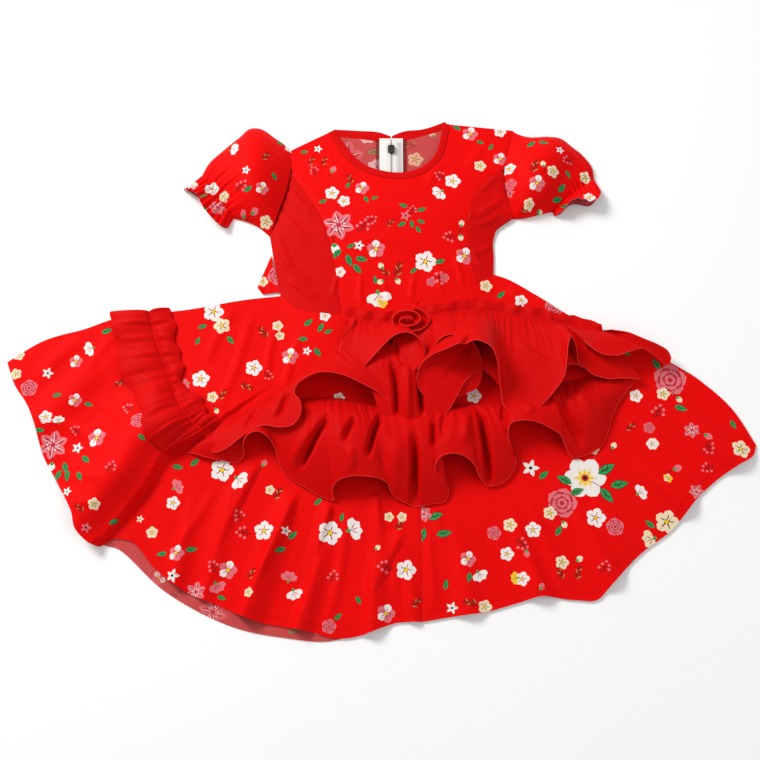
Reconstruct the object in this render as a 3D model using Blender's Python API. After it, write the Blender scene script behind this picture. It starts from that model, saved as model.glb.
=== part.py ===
"""Baby folk dress, laid flat with its front up: every sewn piece as its own solid.

Lengths are in millimetres until a mesh is made. X runs across the dress, Y from hem to neck, Z up.
"""
import math

import bpy
import numpy as np

MM = 0.001
ORIGIN = (-4.0, -3.1)       # middle of the dress's bounding box, taken off every point
WALL = 1.0                  # least cloth thickness
SEAM_GAP = 0.3              # clearance between neighbouring pieces
BACK_TOP = 1.0              # upper side of the back layer
FRONT_TOP = 2.3             # upper side of the front layer where it rests on the back
BINDING_WIDTH = 8.5
CENTRE_BACK = 11.0          # X of the back opening
ZIP_LIPS = 1.7              # width of the back opening over the zip
ZIP_TAPE = 12.0
ZIP_BOTTOM = 66.0
ZIP_TOP = 244.0
SLIDER_Y = 240.0

# outlines; columns: place along the curve 0..1, x, y.  A repeated place is a corner.
WAIST = (
    (0.00, -103, 67), (0.06, -89, 55), (0.18, -62, 47), (0.30, -36, 45), (0.42, -11, 47),
    (0.55, 19, 53), (0.64, 38, 57), (0.80, 72, 65), (0.90, 94, 76), (1.00, 116, 91))
SKIRT_LEFT_EDGE = (
    (0.00, -103, 66.6), (0.12, -135, 63), (0.35, -195, 52), (0.60, -273, 41), (0.72, -299, 31),
    (0.90, -346, 15), (1.00, -375, -5))
SKIRT_RIGHT_EDGE = (
    (0.00, 116, 90.6), (0.10, 133, 84), (0.22, 166, 63), (0.32, 194, 44), (0.42, 225, 29),
    (0.55, 258, 16), (0.68, 290, -5), (0.80, 318, -24), (0.92, 350, -58), (1.00, 367, -91))
HEM_LEFT = (
    (0.00, -375, -5), (0.03, -366, -27), (0.07, -352, -47), (0.11, -341, -68), (0.16, -331, -98),
    (0.22, -315, -125), (0.28, -294, -157), (0.33, -285, -179), (0.36, -270, -190),
    (0.395, -254, -182), (0.395, -254, -182), (0.43, -236, -186), (0.48, -216, -208),
    (0.55, -184, -232), (0.62, -150, -246), (0.70, -115, -260), (0.78, -71, -268),
    (0.85, -40, -275), (0.92, -11, -270), (0.96, 14, -261), (1.00, 39, -260))
HEM_RIGHT = (
    (0.00, 39, -260), (0.08, 62, -256), (0.18, 98, -251), (0.26, 127, -243), (0.33, 150, -237),
    (0.42, 182, -240), (0.48, 204, -239), (0.52, 216, -226), (0.60, 246, -197),
    (0.70, 281, -171), (0.76, 298, -150), (0.84, 326, -125), (0.90, 344, -113),
    (0.96, 363, -101), (1.00, 367, -91))
HEM_BACK = (
    (0.00, -373, -8), (0.06, -350, -49), (0.14, -329, -98), (0.22, -292, -157), (0.28, -266, -187),
    (0.32, -248, -193), (0.38, -204, -231), (0.44, -152, -259), (0.52, -91, -274),
    (0.57, -45, -277), (0.62, 5, -260), (0.70, 98, -244), (0.76, 150, -231), (0.80, 200, -230),
    (0.84, 240, -196), (0.88, 290, -150), (0.95, 341, -107), (1.00, 364, -92))
FOLD_SEAM_X = 38.5          # the seam between the two front skirt panels runs down the skirt here

SIDE_LEFT = (
    (0.00, -96, 234), (0.16, -96, 206), (0.30, -99, 186), (0.46, -106, 163), (0.60, -113, 142),
    (0.64, -116, 134), (0.64, -116, 134), (0.72, -114, 123), (0.86, -109.5, 98), (1.00, -103, 67))
SIDE_RIGHT = (
    (0.00, 143, 259), (0.10, 137, 236), (0.24, 131, 209), (0.34, 131, 189), (0.42, 134, 174),
    (0.52, 138, 154), (0.52, 138, 154), (0.60, 122, 142), (0.68, 117.5, 130), (0.84, 117, 110),
    (1.00, 116, 91))
PRINCESS_LEFT = (
    (0.16, -95.4, 206), (0.26, -87, 193), (0.36, -76, 176), (0.46, -66, 160), (0.60, -57, 137),
    (0.72, -51, 115), (0.86, -45, 84), (1.00, -40, 45))
PRINCESS_RIGHT = (
    (0.24, 130.4, 209), (0.32, 115, 202), (0.42, 103, 188), (0.52, 96, 172), (0.62, 91, 150),
    (0.76, 91, 124), (0.88, 94, 99), (1.00, 99, 80))
# top edge of the centre front: left shoulder, neckline under the binding, right shoulder
TOP_FRONT = (
    (0.00, -96, 234), (0.16, -56, 257), (0.16, -56, 257), (0.24, -47, 239), (0.32, -35, 221),
    (0.40, -18, 206), (0.49, 12, 197), (0.58, 38, 200), (0.66, 56, 212), (0.74, 68, 231),
    (0.82, 75, 267), (0.82, 75, 267), (1.00, 143, 259))
TOP_BACK_LEFT = ((0.00, -95, 233), (0.45, -52, 253), (0.45, -52, 253), (0.75, -24, 250), (1.00, 10, 245))
TOP_BACK_RIGHT = ((0.00, 12, 245), (0.30, 40, 252), (0.52, 72, 262), (0.52, 72, 262), (1.00, 142, 257))
NECK_BACK_LEFT = ((0.00, -51, 262), (0.35, -26, 260.5), (0.75, -2, 258.5), (1.00, 10.1, 254))
NECK_BACK_RIGHT = ((0.00, 11.9, 254), (0.25, 24, 259.5), (0.60, 46, 262.5), (1.00, 70, 271.5))

# heights; columns: y, height in the middle of the bodice, height at its side edges
BODICE_HEIGHT = (
    (45, 8.0, 2.3), (92, 10.0, 2.3), (136, 12.0, 2.6), (165, 12.0, 5.0), (200, 9.5, 6.0),
    (235, 5.0, 4.6), (262, 2.6, 2.6), (275, 2.4, 2.4))
# columns: y, left edge x, right edge x
BODICE_WIDTH = (
    (45, -103, 116), (67, -103, 116), (92, -108, 117), (112, -112, 117), (130, -115, 118),
    (140, -115, 122), (156, -108, 139), (175, -102, 134), (190, -98, 131), (210, -96, 131),
    (235, -96, 137), (262, -96, 143))
# skirt folds; columns: x and y at the top, x and y at the hem, width left, width right, height
SKIRT_FOLDS = (
    (-83, -130, -128, -262, 24, 12, 9), (-44, -148, -78, -270, 16, 10, 7),
    (-3, -134, -10, -276, 20, 14, 5), (66, -150, 84, -262, 18, 24, 5),
    (118, -140, 152, -250, 16, 22, 6), (170, -120, 222, -234, 20, 20, 5),
    (230, -90, 300, -160, 18, 22, 5), (255, -30, 352, -112, 20, 26, 5),
    (-180, -128, -198, -240, 18, 14, 5), (-250, 20, -330, -60, 26, 26, 4))
# the big fold at the lower left; columns: place along its edge, x, y, height
LOBE_EDGE = (
    (0.0, -176, -78, 2), (0.2, -200, -92, 12), (0.45, -226, -110, 17), (0.7, -245, -140, 18),
    (0.9, -252, -168, 15), (1.0, -254, -196, 12))
LOBE_WIDTH = 78.0
LOBE_DROP = 9.0

# ruffles, a row per wave: heading x, y, free edge x, y, lift off the skirt, then the wave that follows:
# height, overhang as a part of its length, and how far its crest is drawn back
UPPER = (
    (-29, 37, -35, -21, 14, 10, 0.12, 0.30), (4, 30, 9, -28, 19, 26, 0.28, 0.52),
    (45, 37, 43, -32, 20, 34, 0.26, 0.55), (121, 43, 125, -62, 17, 30, 0.16, 0.45),
    (178, 36, 189, -46, 13, 16, 0.14, 0.35), (208, 32, 238, -33, 18, 8, 0.12, 0.20),
    (236, 22, 268, -22, 11, 6, 0.10, 0.15), (262, 9, 288, -7, 3, 0, 0, 0))
MIDDLE = (
    (-156, -70, -150, -83, 13, 6, 0.12, 0.15), (-136, -60, -116, -81, 17, 8, 0.16, 0.20),
    (-112, -46, -80, -76, 17, 24, 0.10, 0.55), (-36, 20, 8, -84, 13, 7, 0.10, 0.06),
    (19, 2, 50, -82, 13, 9, 0.12, 0.30), (84, 0, 92, -62, 9, 0, 0, 0))
LOWER = (
    (-166, -82, -166, -105, 0.5, 4, 0.12, 0.10), (-139, -66, -140, -100, 0.5, 22, 0.12, 0.50),
    (-90, -51, -96, -138, 0.5, 5, 0.08, 0.05), (-55, -46, -44, -147, 0.5, 22, 0.14, 0.28),
    (-6, -54, 25, -157, 0.5, 5, 0.08, 0.05), (19, -56, 48, -156, 0.5, 28, 0.14, 0.48),
    (58, -46, 99, -139, 0.5, 6, 0.08, 0.05), (88, -37, 126, -129, 0.5, 30, 0.10, 0.55),
    (138, -25, 179, -114, 0.5, 6, 0.08, 0.05), (179, -12, 219, -98, 0.5, 15, 0.10, 0.42),
    (222, 2, 262, -44, 0.5, 0, 0, 0))
SIDE_TRIM_LEFT = (
    (-234, 47, -273, 46, 0.5, 7, 0.12, 0.08), (-228, 24, -269, 24, 0.5, 10, 0.16, 0.10),
    (-218, -2, -261, -2, 0.5, 8, 0.16, 0.10), (-207, -30, -249, -31, 0.5, 11, 0.16, 0.10),
    (-196, -52, -235, -56, 0.5, 9, 0.14, 0.10), (-186, -66, -224, -84, 0.5, 6, 0.10, 0.10),
    (-181, -72, -210, -96, 0.5, 0, 0, 0))
SIDE_TRIM_RIGHT = (
    (-234, 47, -214, 53, 0.5, 6, 0.10, 0.08), (-228, 24, -202, 30, 0.5, 9, 0.14, 0.10),
    (-218, -2, -196, 4, 0.5, 7, 0.14, 0.10), (-207, -30, -186, -24, 0.5, 9, 0.14, 0.10),
    (-196, -52, -165, -44, 0.5, 8, 0.12, 0.10), (-187, -63, -168, -52, 0.5, 4, 0.08, 0.10),
    (-182, -71, -170, -62, 0.5, 0, 0, 0))
COLUMNS_PER_WAVE = 10
HEADER_WIDTH = 9.0
GATHERS_PER_WAVE = 2
GATHER_HEIGHT = 1.1

# sleeves; columns: place along the curve, x, y; height over the floor by the place down the sleeve
SLEEVE_LEFT = dict(
    top=((0.0, -96, 234), (0.10, -103, 242), (0.24, -114, 250), (0.42, -130, 260.5),
         (0.54, -142, 260), (0.66, -152, 250), (0.82, -169, 235), (0.94, -185, 218), (1.0, -191, 205)),
    bottom=((0.0, -116, 134), (0.3, -128, 144.5), (0.65, -142, 151.5), (1.0, -155, 155)),
    frill=((0.0, -209, 188), (0.18, -200, 182), (0.32, -193, 177), (0.55, -184, 160),
           (0.75, -174, 149), (0.9, -165, 142), (1.0, -160, 144)),
    height=((0.0, 8), (0.18, 18), (0.42, 27), (0.66, 25), (0.86, 15), (1.0, 9)),
    armhole=SIDE_LEFT, armhole_end=0.64, outward=-1)
SLEEVE_RIGHT = dict(
    top=((0.0, 143, 259), (0.10, 149, 255), (0.24, 160, 251), (0.42, 180, 250.5), (0.56, 193, 248.5),
         (0.72, 206, 238), (0.86, 218, 227), (0.95, 226, 213), (1.0, 227, 201)),
    bottom=((0.0, 138, 154), (0.35, 150, 155), (0.7, 166, 159), (1.0, 181, 163)),
    frill=((0.0, 233, 187), (0.15, 229, 176), (0.35, 220, 168), (0.5, 207, 171), (0.7, 197, 168),
           (0.88, 190, 160), (1.0, 183, 157)),
    height=((0.0, 8), (0.18, 18), (0.42, 27), (0.66, 25), (0.86, 15), (1.0, 9)),
    armhole=SIDE_RIGHT, armhole_end=0.52, outward=1)
SLEEVE_GATHERS = 9

ROSETTE = dict(x=27.0, y=37.0, base=16.4, turns=2.25, inner=4.0, outer=20.5, height=15.0,
               squash=0.74, tilt=-26.0)
WAIST_TIE = ((-113.7, 112), (-127, 76), (-121, 69), (-104.2, 71))

# places along the top edge of the centre front where it and its binding have points
NECK_PLACES = (0.16, 0.20, 0.24, 0.28, 0.32, 0.36, 0.40, 0.445, 0.49, 0.535, 0.58, 0.62, 0.66, 0.70,
               0.74, 0.78, 0.82)
SEAM_ROWS = 12              # points down each princess seam, shared by the panels beside it

COLOURS = {
    "print": (0.86, 0.01, 0.01, 1), "plain": (0.68, 0.01, 0.01, 1),
    "tape": (0.85, 0.82, 0.78, 1), "black": (0.02, 0.02, 0.02, 1)}


def curve(rows, places):
    """Smooth curve through rows of (place, value, ...), broken where a place is repeated."""
    rows = np.asarray(rows, float)
    knots, values = rows[:, 0], rows[:, 1:]
    places = np.clip(np.asarray(places, float), knots[0], knots[-1])
    result = np.zeros(places.shape + (values.shape[1],))
    starts = [0] + [i for i in range(1, len(rows)) if knots[i] == knots[i - 1]]
    ends = starts[1:] + [len(rows)]
    for start, end in zip(starts, ends):
        k, v = knots[start:end], values[start:end]
        slope = np.gradient(v, k, axis=0)
        inside = (places >= k[0]) & (places <= k[-1])
        p = places[inside]
        i = np.clip(np.searchsorted(k, p, side="right") - 1, 0, len(k) - 2)
        step = (k[i + 1] - k[i])[:, None]
        t = (p[:, None] - k[i][:, None]) / step
        result[inside] = ((2 * t**3 - 3 * t**2 + 1) * v[i] + (t**3 - 2 * t**2 + t) * step * slope[i]
                          + (3 * t**2 - 2 * t**3) * v[i + 1] + (t**3 - t**2) * step * slope[i + 1])
    return result


def coons(top, bottom, left, right, across, down, decay=1.0):
    """Grid of plan points filled in between four edges that share their corners."""
    u, v = across[None, :, None], down[:, None, None]
    chord_left = (1 - down[:, None]) * left[0] + down[:, None] * left[-1]
    chord_right = (1 - down[:, None]) * right[0] + down[:, None] * right[-1]
    return ((1 - v) * top[None] + v * bottom[None] + (1 - u) ** decay * (left - chord_left)[:, None]
            + u ** decay * (right - chord_right)[:, None])


def ease(value):
    value = np.clip(value, 0, 1)
    return value * value * (3 - 2 * value)


def bodice_height(x, y):
    """Upper side of the bodice front above the floor."""
    middle, side = np.moveaxis(curve(BODICE_HEIGHT, y), -1, 0)
    left, right = np.moveaxis(curve(BODICE_WIDTH, y), -1, 0)
    across = np.clip((x - left) / (right - left), 0, 1)
    return side + (middle - side) * (1 - np.abs(2 * across - 1) ** 3)


def waist_y(x):
    line = curve(WAIST, np.linspace(0, 1, 120))
    return np.interp(x, line[:, 0], line[:, 1])


def lobe_height(x, y):
    """The large fold at the lower left: steep on its inner edge, easing out to the side."""
    edge = curve(LOBE_EDGE, np.linspace(0, 1, 25))
    start, end = edge[:-1], edge[1:]
    step = end[:, :2] - start[:, :2]
    px, py = x[..., None] - start[:, 0], y[..., None] - start[:, 1]
    along = np.clip((px * step[:, 0] + py * step[:, 1]) / (step**2).sum(1), 0, 1)
    dx, dy = px - along * step[:, 0], py - along * step[:, 1]
    away = np.hypot(dx, dy)
    near = np.argmin(away, axis=-1)[..., None]
    pick = lambda a: np.take_along_axis(a, near, axis=-1)[..., 0]
    distance = pick(away)
    side = pick(np.broadcast_to(step[:, 0], away.shape) * dy - np.broadcast_to(step[:, 1], away.shape) * dx)
    height = pick(start[:, 2] + (end[:, 2] - start[:, 2]) * along)
    outward = side < 0
    fall = np.where(outward, distance / LOBE_WIDTH, distance / LOBE_DROP)
    return height * np.cos(np.clip(fall, 0, 1) * math.pi / 2) ** 2


def skirt_height(x, y):
    """Upper side of the front skirt above the floor."""
    x, y = np.asarray(x, float), np.asarray(y, float)
    inside = np.clip(x, WAIST[0][1], WAIST[-1][1])
    top = waist_y(inside)
    distance = np.hypot(x - inside, np.maximum(top - y, 0))
    waist_rise = bodice_height(inside, top) - FRONT_TOP
    height = FRONT_TOP + waist_rise * ease(1 - distance / 85)
    for x0, y0, x1, y1, left, right, rise in SKIRT_FOLDS:
        length = math.hypot(x1 - x0, y1 - y0)
        along = ((x - x0) * (x1 - x0) + (y - y0) * (y1 - y0)) / length
        across = ((x - x0) * (y1 - y0) - (y - y0) * (x1 - x0)) / length
        # positive across lies on the left of a fold that runs towards the hem
        spread = 0.6 + 0.4 * np.clip(along / length, 0, 1)
        width = np.where(across > 0, right, left) * spread
        ridge = np.cos(np.clip(np.abs(across) / width, 0, 1) * math.pi / 2) ** 2
        height = height + rise * ridge * ease(along / length * 1.1)
    return height + lobe_height(x, y)


def zip_bump(x, y):
    """Rise of the back opening over the pull tab that lies under it."""
    across = np.clip(1.6 - np.abs(x - CENTRE_BACK) / 8.0, 0, 1)
    along = np.clip((y - 198) / 10.0, 0, 1) * np.clip((247 - y) / 3.5, 0, 1)
    return 3.2 * ease(across) * ease(along)


def back_height(x, y):
    return BACK_TOP + zip_bump(x, y)


def material(name, colour):
    found = bpy.data.materials.new(name + "_material")
    found.use_nodes = True
    shader = found.node_tree.nodes["Principled BSDF"]
    shader.inputs["Base Color"].default_value = colour
    shader.inputs["Roughness"].default_value = 0.9
    found.diffuse_color = colour
    return found


def solid(name, points, faces, colour):
    """Add a closed mesh from points in millimetres, with its faces turned outwards."""
    points = np.asarray(points, float)
    points = (points - np.array((ORIGIN[0], ORIGIN[1], 0))) * MM
    faces = [tuple(int(i) for i in face) for face in faces]
    volume = 0.0
    for face in faces:
        a = points[face[0]]
        for i in range(1, len(face) - 1):
            volume += np.dot(a, np.cross(points[face[i]], points[face[i + 1]]))
    if volume < 0:
        faces = [face[::-1] for face in faces]
    mesh = bpy.data.meshes.new(name)
    mesh.from_pydata(points.tolist(), [], faces)
    mesh.update()
    made = bpy.data.objects.new(name, mesh)
    made.data.materials.append(material(name, COLOURS[colour]))
    bpy.context.scene.collection.objects.link(made)
    return made


def sheet(name, upper, lower, colour, ring=False):
    """Closed wall between an upper and a lower grid of points; a ring joins its first and last column."""
    rows, columns = upper.shape[:2]
    points = np.concatenate((upper.reshape(-1, 3), lower.reshape(-1, 3)))
    below = rows * columns
    faces = []
    last = columns if ring else columns - 1

    def at(row, column, under):
        return row * columns + column % columns + (below if under else 0)

    def quad(a, b, c, d):
        faces.append((a, b, c))
        faces.append((a, c, d))

    for row in range(rows - 1):
        for column in range(last):
            a, b = at(row, column, False), at(row, column + 1, False)
            c, d = at(row + 1, column + 1, False), at(row + 1, column, False)
            quad(a, b, c, d)
            quad(a + below, d + below, c + below, b + below)
    for column in range(last):
        quad(at(0, column + 1, False), at(0, column, False), at(0, column, True), at(0, column + 1, True))
        quad(at(rows - 1, column, False), at(rows - 1, column + 1, False),
             at(rows - 1, column + 1, True), at(rows - 1, column, True))
    if not ring:
        for row in range(rows - 1):
            quad(at(row, 0, False), at(row + 1, 0, False), at(row + 1, 0, True), at(row, 0, True))
            end = columns - 1
            quad(at(row + 1, end, False), at(row, end, False), at(row, end, True), at(row + 1, end, True))
    return solid(name, points, faces, colour)


def panel(name, plan, height, colour, floor, thickness=WALL):
    """A cloth panel over a plan grid: its wall stays the stated thickness on slopes."""
    x, y = plan[..., 0], plan[..., 1]
    top = height(x, y)
    step = 0.5
    slope = np.hypot(height(x + step, y) - height(x - step, y),
                     height(x, y + step) - height(x, y - step)) / (2 * step)
    depth = thickness * np.minimum(np.sqrt(1 + slope**2), 2.6)
    under = np.maximum(top - depth, floor)
    upper = np.dstack((x, y, top))
    lower = np.dstack((x, y, under))
    return sheet(name, upper, lower, colour)


def normals(grid):
    along = np.gradient(grid, axis=1)
    down = np.gradient(grid, axis=0)
    found = np.cross(along, down)
    found /= np.linalg.norm(found, axis=2)[..., None] + 1e-12
    return found


def ruffle_surface(rows, across, level, columns, header=0.0):
    """Outer face of a ruffle: waves tile its heading, rise towards the free edge and overhang."""
    rows = np.asarray(rows, float)
    count = len(rows) - 1
    index = np.arange(len(rows), dtype=float)
    ends = curve(np.column_stack((index, rows[:, :5])), np.linspace(0, count, count * columns + 1))
    place = np.linspace(0, count, count * columns + 1)
    wave = np.minimum(place.astype(int), count - 1)
    inside = place - wave
    height, overhang, pull = rows[wave, 5], rows[wave, 6], rows[wave, 7]
    crest = (1 - np.cos(2 * math.pi * inside)) / 2
    grid = np.zeros((len(across), len(place), 3))
    for i, t in enumerate(across):
        reach = np.clip(t, 0, 1)
        shifted = place + overhang * np.sin(4 * math.pi * inside) * reach**1.6
        line = curve(np.column_stack((index, rows[:, :5])), shifted)
        head, free = line[:, 0:2], line[:, 2:4]
        drawn = t * (1 - pull * crest * (0.4 + 0.6 * reach))
        flat = head + (free - head) * drawn[:, None]
        if t < 0:
            away = head - free
            away /= np.linalg.norm(away, axis=1)[:, None]
            flat = head + away * header * -t
        lift = line[:, 4] * ease(reach / 0.75)
        gather = GATHER_HEIGHT * (1 - np.cos(2 * math.pi * GATHERS_PER_WAVE * inside)) / 2
        gather = gather * np.clip(1 - abs(t) * 1.5, 0.15, 1) * (0 if t == 0 else 1)
        clear = level + 1.0 * min(abs(t) / 0.12, 1)
        grid[i, :, :2] = flat
        grid[i, :, 2] = (skirt_or_bodice(flat[:, 0], flat[:, 1]) + clear + lift
                         + height * crest * reach**1.3 + gather)
    return grid


def skirt_or_bodice(x, y):
    """Height of what a ruffle lies on: skirt below the waist, bodice above it."""
    inside = (x > WAIST[0][1]) & (x < WAIST[-1][1]) & (y > waist_y(x))
    return np.where(inside, bodice_height(x, y), skirt_height(x, y))


def ruffle(name, rows, across, level, columns=COLUMNS_PER_WAVE, header=0.0):
    upper = ruffle_surface(rows, across, level, columns, header)
    outward = normals(upper)
    outward *= np.sign(outward[:, 0, 2].mean())
    return sheet(name, upper, upper - outward * WALL, "plain")


def side_trim(name, left, right, level):
    """A strip sewn down along its middle with both edges free."""
    across = (0.33, 0.67, 1.0)
    wing_left = ruffle_surface(left, across, level, 7)[::-1]
    middle = ruffle_surface(left, (0.0,), level, 7)
    wing_right = ruffle_surface(right, across, level, 7)
    upper = np.concatenate((wing_left, middle, wing_right))
    outward = normals(upper)
    outward *= np.sign(outward[:, 0, 2].mean())
    return sheet(name, upper, upper - outward * WALL, "plain")


def band(name, line, width_vector, height, thickness, colour, floor=0.0):
    """A bound edge: a flat folded strip with rounded sides along a plan line."""
    section = ((0.0, 0.30), (0.0, 0.70), (0.14, 1.0), (0.86, 1.0),
               (1.0, 0.70), (1.0, 0.30), (0.86, 0.0), (0.14, 0.0))
    grid = np.zeros((len(line), len(section), 3))
    for j, (across, up) in enumerate(section):
        flat = line + width_vector * across
        base = height(flat[:, 0], flat[:, 1]) - thickness if height else floor
        grid[:, j, :2] = flat
        grid[:, j, 2] = np.maximum(base, floor) + up * thickness
    points = grid.reshape(-1, 3)
    rows, columns = grid.shape[:2]
    faces = []
    for row in range(rows - 1):
        for j in range(columns):
            a, b = row * columns + j, row * columns + (j + 1) % columns
            c, d = b + columns, a + columns
            faces.append((a, b, c))
            faces.append((a, c, d))
    for j in range(1, columns - 1):
        faces.append((0, j + 1, j))
        end = (rows - 1) * columns
        faces.append((end, end + j, end + j + 1))
    return solid(name, points, faces, colour)


def sideways(line):
    """Unit vectors at right angles to a plan line, on the left of its direction."""
    along = np.gradient(line, axis=0)
    across = np.column_stack((-along[:, 1], along[:, 0]))
    return across / np.linalg.norm(across, axis=1)[:, None]


def sleeve(name, cut):
    """A short puffed tube with its gathered cuff and the frill beyond the elastic."""
    arch = np.linspace(0, 1, 12)
    arch = 0.5 - 0.5 * np.cos(arch * math.pi) * (0.55 + 0.45 * np.abs(np.cos(arch * math.pi)))
    body = np.array((0.0, 0.10, 0.24, 0.40, 0.56, 0.72, 0.88, 1.0))
    frill = np.array((0.35, 0.70, 1.0))
    armhole = curve(cut["armhole"], arch * cut["armhole_end"])
    armhole[:, 0] += cut["outward"] * (SEAM_GAP + 0.1)
    top, bottom = curve(cut["top"], body), curve(cut["bottom"], body)
    cuff = top[-1] + (bottom[-1] - top[-1]) * arch[:, None]
    top[0], bottom[0] = armhole[0], armhole[-1]
    plan_body = coons(top, bottom, armhole, cuff, body, arch).transpose(1, 0, 2)
    edge = curve(cut["frill"], arch)
    plan_frill = cuff[None] + (edge - cuff)[None] * frill[:, None, None]
    plan = np.concatenate((plan_body, plan_frill))
    peak = np.concatenate((curve(cut["height"], body)[:, 0], (10.5, 13.0, 15.0)))
    ripple = np.concatenate((0.9 - 0.8 * np.sin(body * math.pi), (1.4, 1.9, 2.2)))
    rise = np.sqrt(np.clip(4 * arch * (1 - arch), 0, 1))
    wave = np.cos(2 * math.pi * SLEEVE_GATHERS * arch / 2) * rise
    upper = np.dstack((plan[..., 0], plan[..., 1],
                       2.7 + (peak[:, None] - 2.7) * rise[None] + ripple[:, None] * wave[None]))
    lower = upper.copy()
    lower[..., 2] = 0.0
    length = np.linalg.norm(plan[:, -1] - plan[:, 0], axis=1)[:, None]
    inset = 1.15 / length
    pulled = inset + (1 - 2 * inset) * arch[None]
    inner = plan.copy()
    for i in range(len(plan)):
        for axis in (0, 1):
            inner[i, :, axis] = np.interp(pulled[i], arch, plan[i, :, axis])
    slope = np.abs(np.gradient(upper[..., 2], axis=1)) / (
        np.linalg.norm(np.gradient(plan, axis=1), axis=2) + 1e-9)
    depth = WALL * np.minimum(np.sqrt(1 + slope**2), 2.4)
    inner_upper = np.dstack((inner, np.maximum(upper[..., 2] - depth, WALL + 0.35)))
    inner_lower = np.dstack((inner, np.full(inner.shape[:2], WALL)))
    outer_ring = np.concatenate((upper, lower[:, ::-1]), axis=1)
    inner_ring = np.concatenate((inner_upper, inner_lower[:, ::-1]), axis=1)
    return sheet(name, outer_ring, inner_ring, "print", ring=True)


def rosette(name, size):
    """A coiled strip, narrow at its foot and open at the top, leaning towards the hem."""
    turn = np.linspace(0, 1, 46)
    angle = turn * size["turns"] * 2 * math.pi + 0.6
    levels = np.array((0.0, 0.35, 0.7, 1.0))
    grid = np.zeros((len(levels), len(turn), 3))
    reach = size["inner"] + (size["outer"] - size["inner"]) * turn**0.9
    for i, level in enumerate(levels):
        radius = reach * (0.55 + 0.45 * level**0.8) + 0.5 * np.sin(angle * 2.7) * level
        height = size["height"] * (1.0 - 0.32 * turn) * level
        grid[i, :, 0] = radius * np.cos(angle)
        grid[i, :, 1] = radius * np.sin(angle) * size["squash"]
        grid[i, :, 2] = height
    outward = normals(grid)
    outward *= np.sign((outward[..., :2] * grid[..., :2]).sum(axis=2).mean())
    inner = grid - outward * 1.1
    lean = math.radians(size["tilt"])

    def place(points):
        y, z = points[..., 1].copy(), points[..., 2].copy()
        placed = points.copy()
        placed[..., 0] += size["x"]
        placed[..., 1] = size["y"] + y * math.cos(lean) + z * math.sin(lean)
        placed[..., 2] = size["base"] - y * math.sin(lean) * 0.5 + z * math.cos(lean)
        return placed
    return sheet(name, place(grid), place(inner), "plain")


def box(name, low, high, colour, bevel=0.0):
    """A block with chamfered upright edges."""
    (x0, y0, z0), (x1, y1, z1) = low, high
    b = bevel
    ring = ((x0 + b, y0), (x1 - b, y0), (x1, y0 + b), (x1, y1 - b),
            (x1 - b, y1), (x0 + b, y1), (x0, y1 - b), (x0, y0 + b))
    points = [(x, y, z) for z in (z0, z1) for x, y in ring]
    faces = [tuple(range(8))[::-1], tuple(range(8, 16))]
    for i in range(8):
        j = (i + 1) % 8
        faces.append((i, j, j + 8, i + 8))
    return solid(name, points, faces, colour)


def join_union(name, blocks, colour):
    """One solid from overlapping blocks."""
    first = blocks[0]
    for other in blocks[1:]:
        cut = first.modifiers.new("join", "BOOLEAN")
        cut.operation = "UNION"
        cut.solver = "EXACT"
        cut.object = other
    evaluated = first.evaluated_get(bpy.context.evaluated_depsgraph_get())
    mesh = bpy.data.meshes.new_from_object(evaluated)
    made = bpy.data.objects.new(name, mesh)
    mesh.name = name
    mesh.materials.clear()
    mesh.materials.append(material(name, COLOURS[colour]))
    bpy.context.scene.collection.objects.link(made)
    for block in blocks:
        bpy.data.objects.remove(block, do_unlink=True)
    return made


def build_back():
    across, down = np.linspace(0, 1, 33), np.linspace(0, 1, 6)
    waist = curve(WAIST, across)
    waist[:, 0] = CENTRE_BACK + (waist[:, 0] - CENTRE_BACK) * 0.985
    waist[:, 1] = waist_y(waist[:, 0]) - 0.6
    left, right = curve(SKIRT_LEFT_EDGE, down), curve(SKIRT_RIGHT_EDGE, down)
    hem = curve(HEM_BACK, across)
    left[:, 1] -= 1.0
    right[:, 1] -= 1.0
    left[0], left[-1], right[0], right[-1] = waist[0], hem[0], waist[-1], hem[-1]
    plan = coons(waist, hem, left, right, across, down)
    panel("skirt_back", plan, lambda x, y: np.full(np.shape(x), BACK_TOP), "print", 0.0)

    down = np.array((0.0, 0.03, 0.06, 0.10, 0.14, 0.19, 0.24, 0.32, 0.42, 0.55, 0.7, 0.85, 1.0))
    near = np.array((0.0, 0.2, 0.42, 0.6, 0.74, 0.84, 0.90, 0.94, 0.97, 1.0))
    half = ZIP_LIPS / 2
    for side, edge, neck, inner in (("left", SIDE_LEFT, TOP_BACK_LEFT, CENTRE_BACK - half),
                                    ("right", SIDE_RIGHT, TOP_BACK_RIGHT, CENTRE_BACK + half)):
        outer = curve(edge, down)
        outer[:, 0] += 0.8 if side == "left" else -0.8
        across = near if side == "left" else 1 - near[::-1]
        top = curve(neck, across)
        if side == "left":
            top[0] = outer[0]
            top[-1, 0] = inner
        else:
            top[-1] = outer[0]
            top[0, 0] = inner
        start = outer[-1] if side == "left" else (inner, waist_y(inner))
        end = (inner, waist_y(inner)) if side == "left" else outer[-1]
        bottom = np.array(start) + (np.array(end) - np.array(start)) * across[:, None]
        bottom[:, 1] = waist_y(bottom[:, 0]) + 0.05
        seam = np.column_stack((np.full(len(down), inner), (
            np.interp(down, (0, 1), ((top[-1] if side == "left" else top[0])[1], waist_y(inner) + 0.05)))))
        if side == "left":
            outer[-1] = bottom[0]
            plan = coons(top, bottom, outer, seam, across, down)
        else:
            outer[-1] = bottom[-1]
            plan = coons(top, bottom, seam, outer, across, down)
        panel("bodice_back_" + side, plan, back_height, "print", 0.0)


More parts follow.
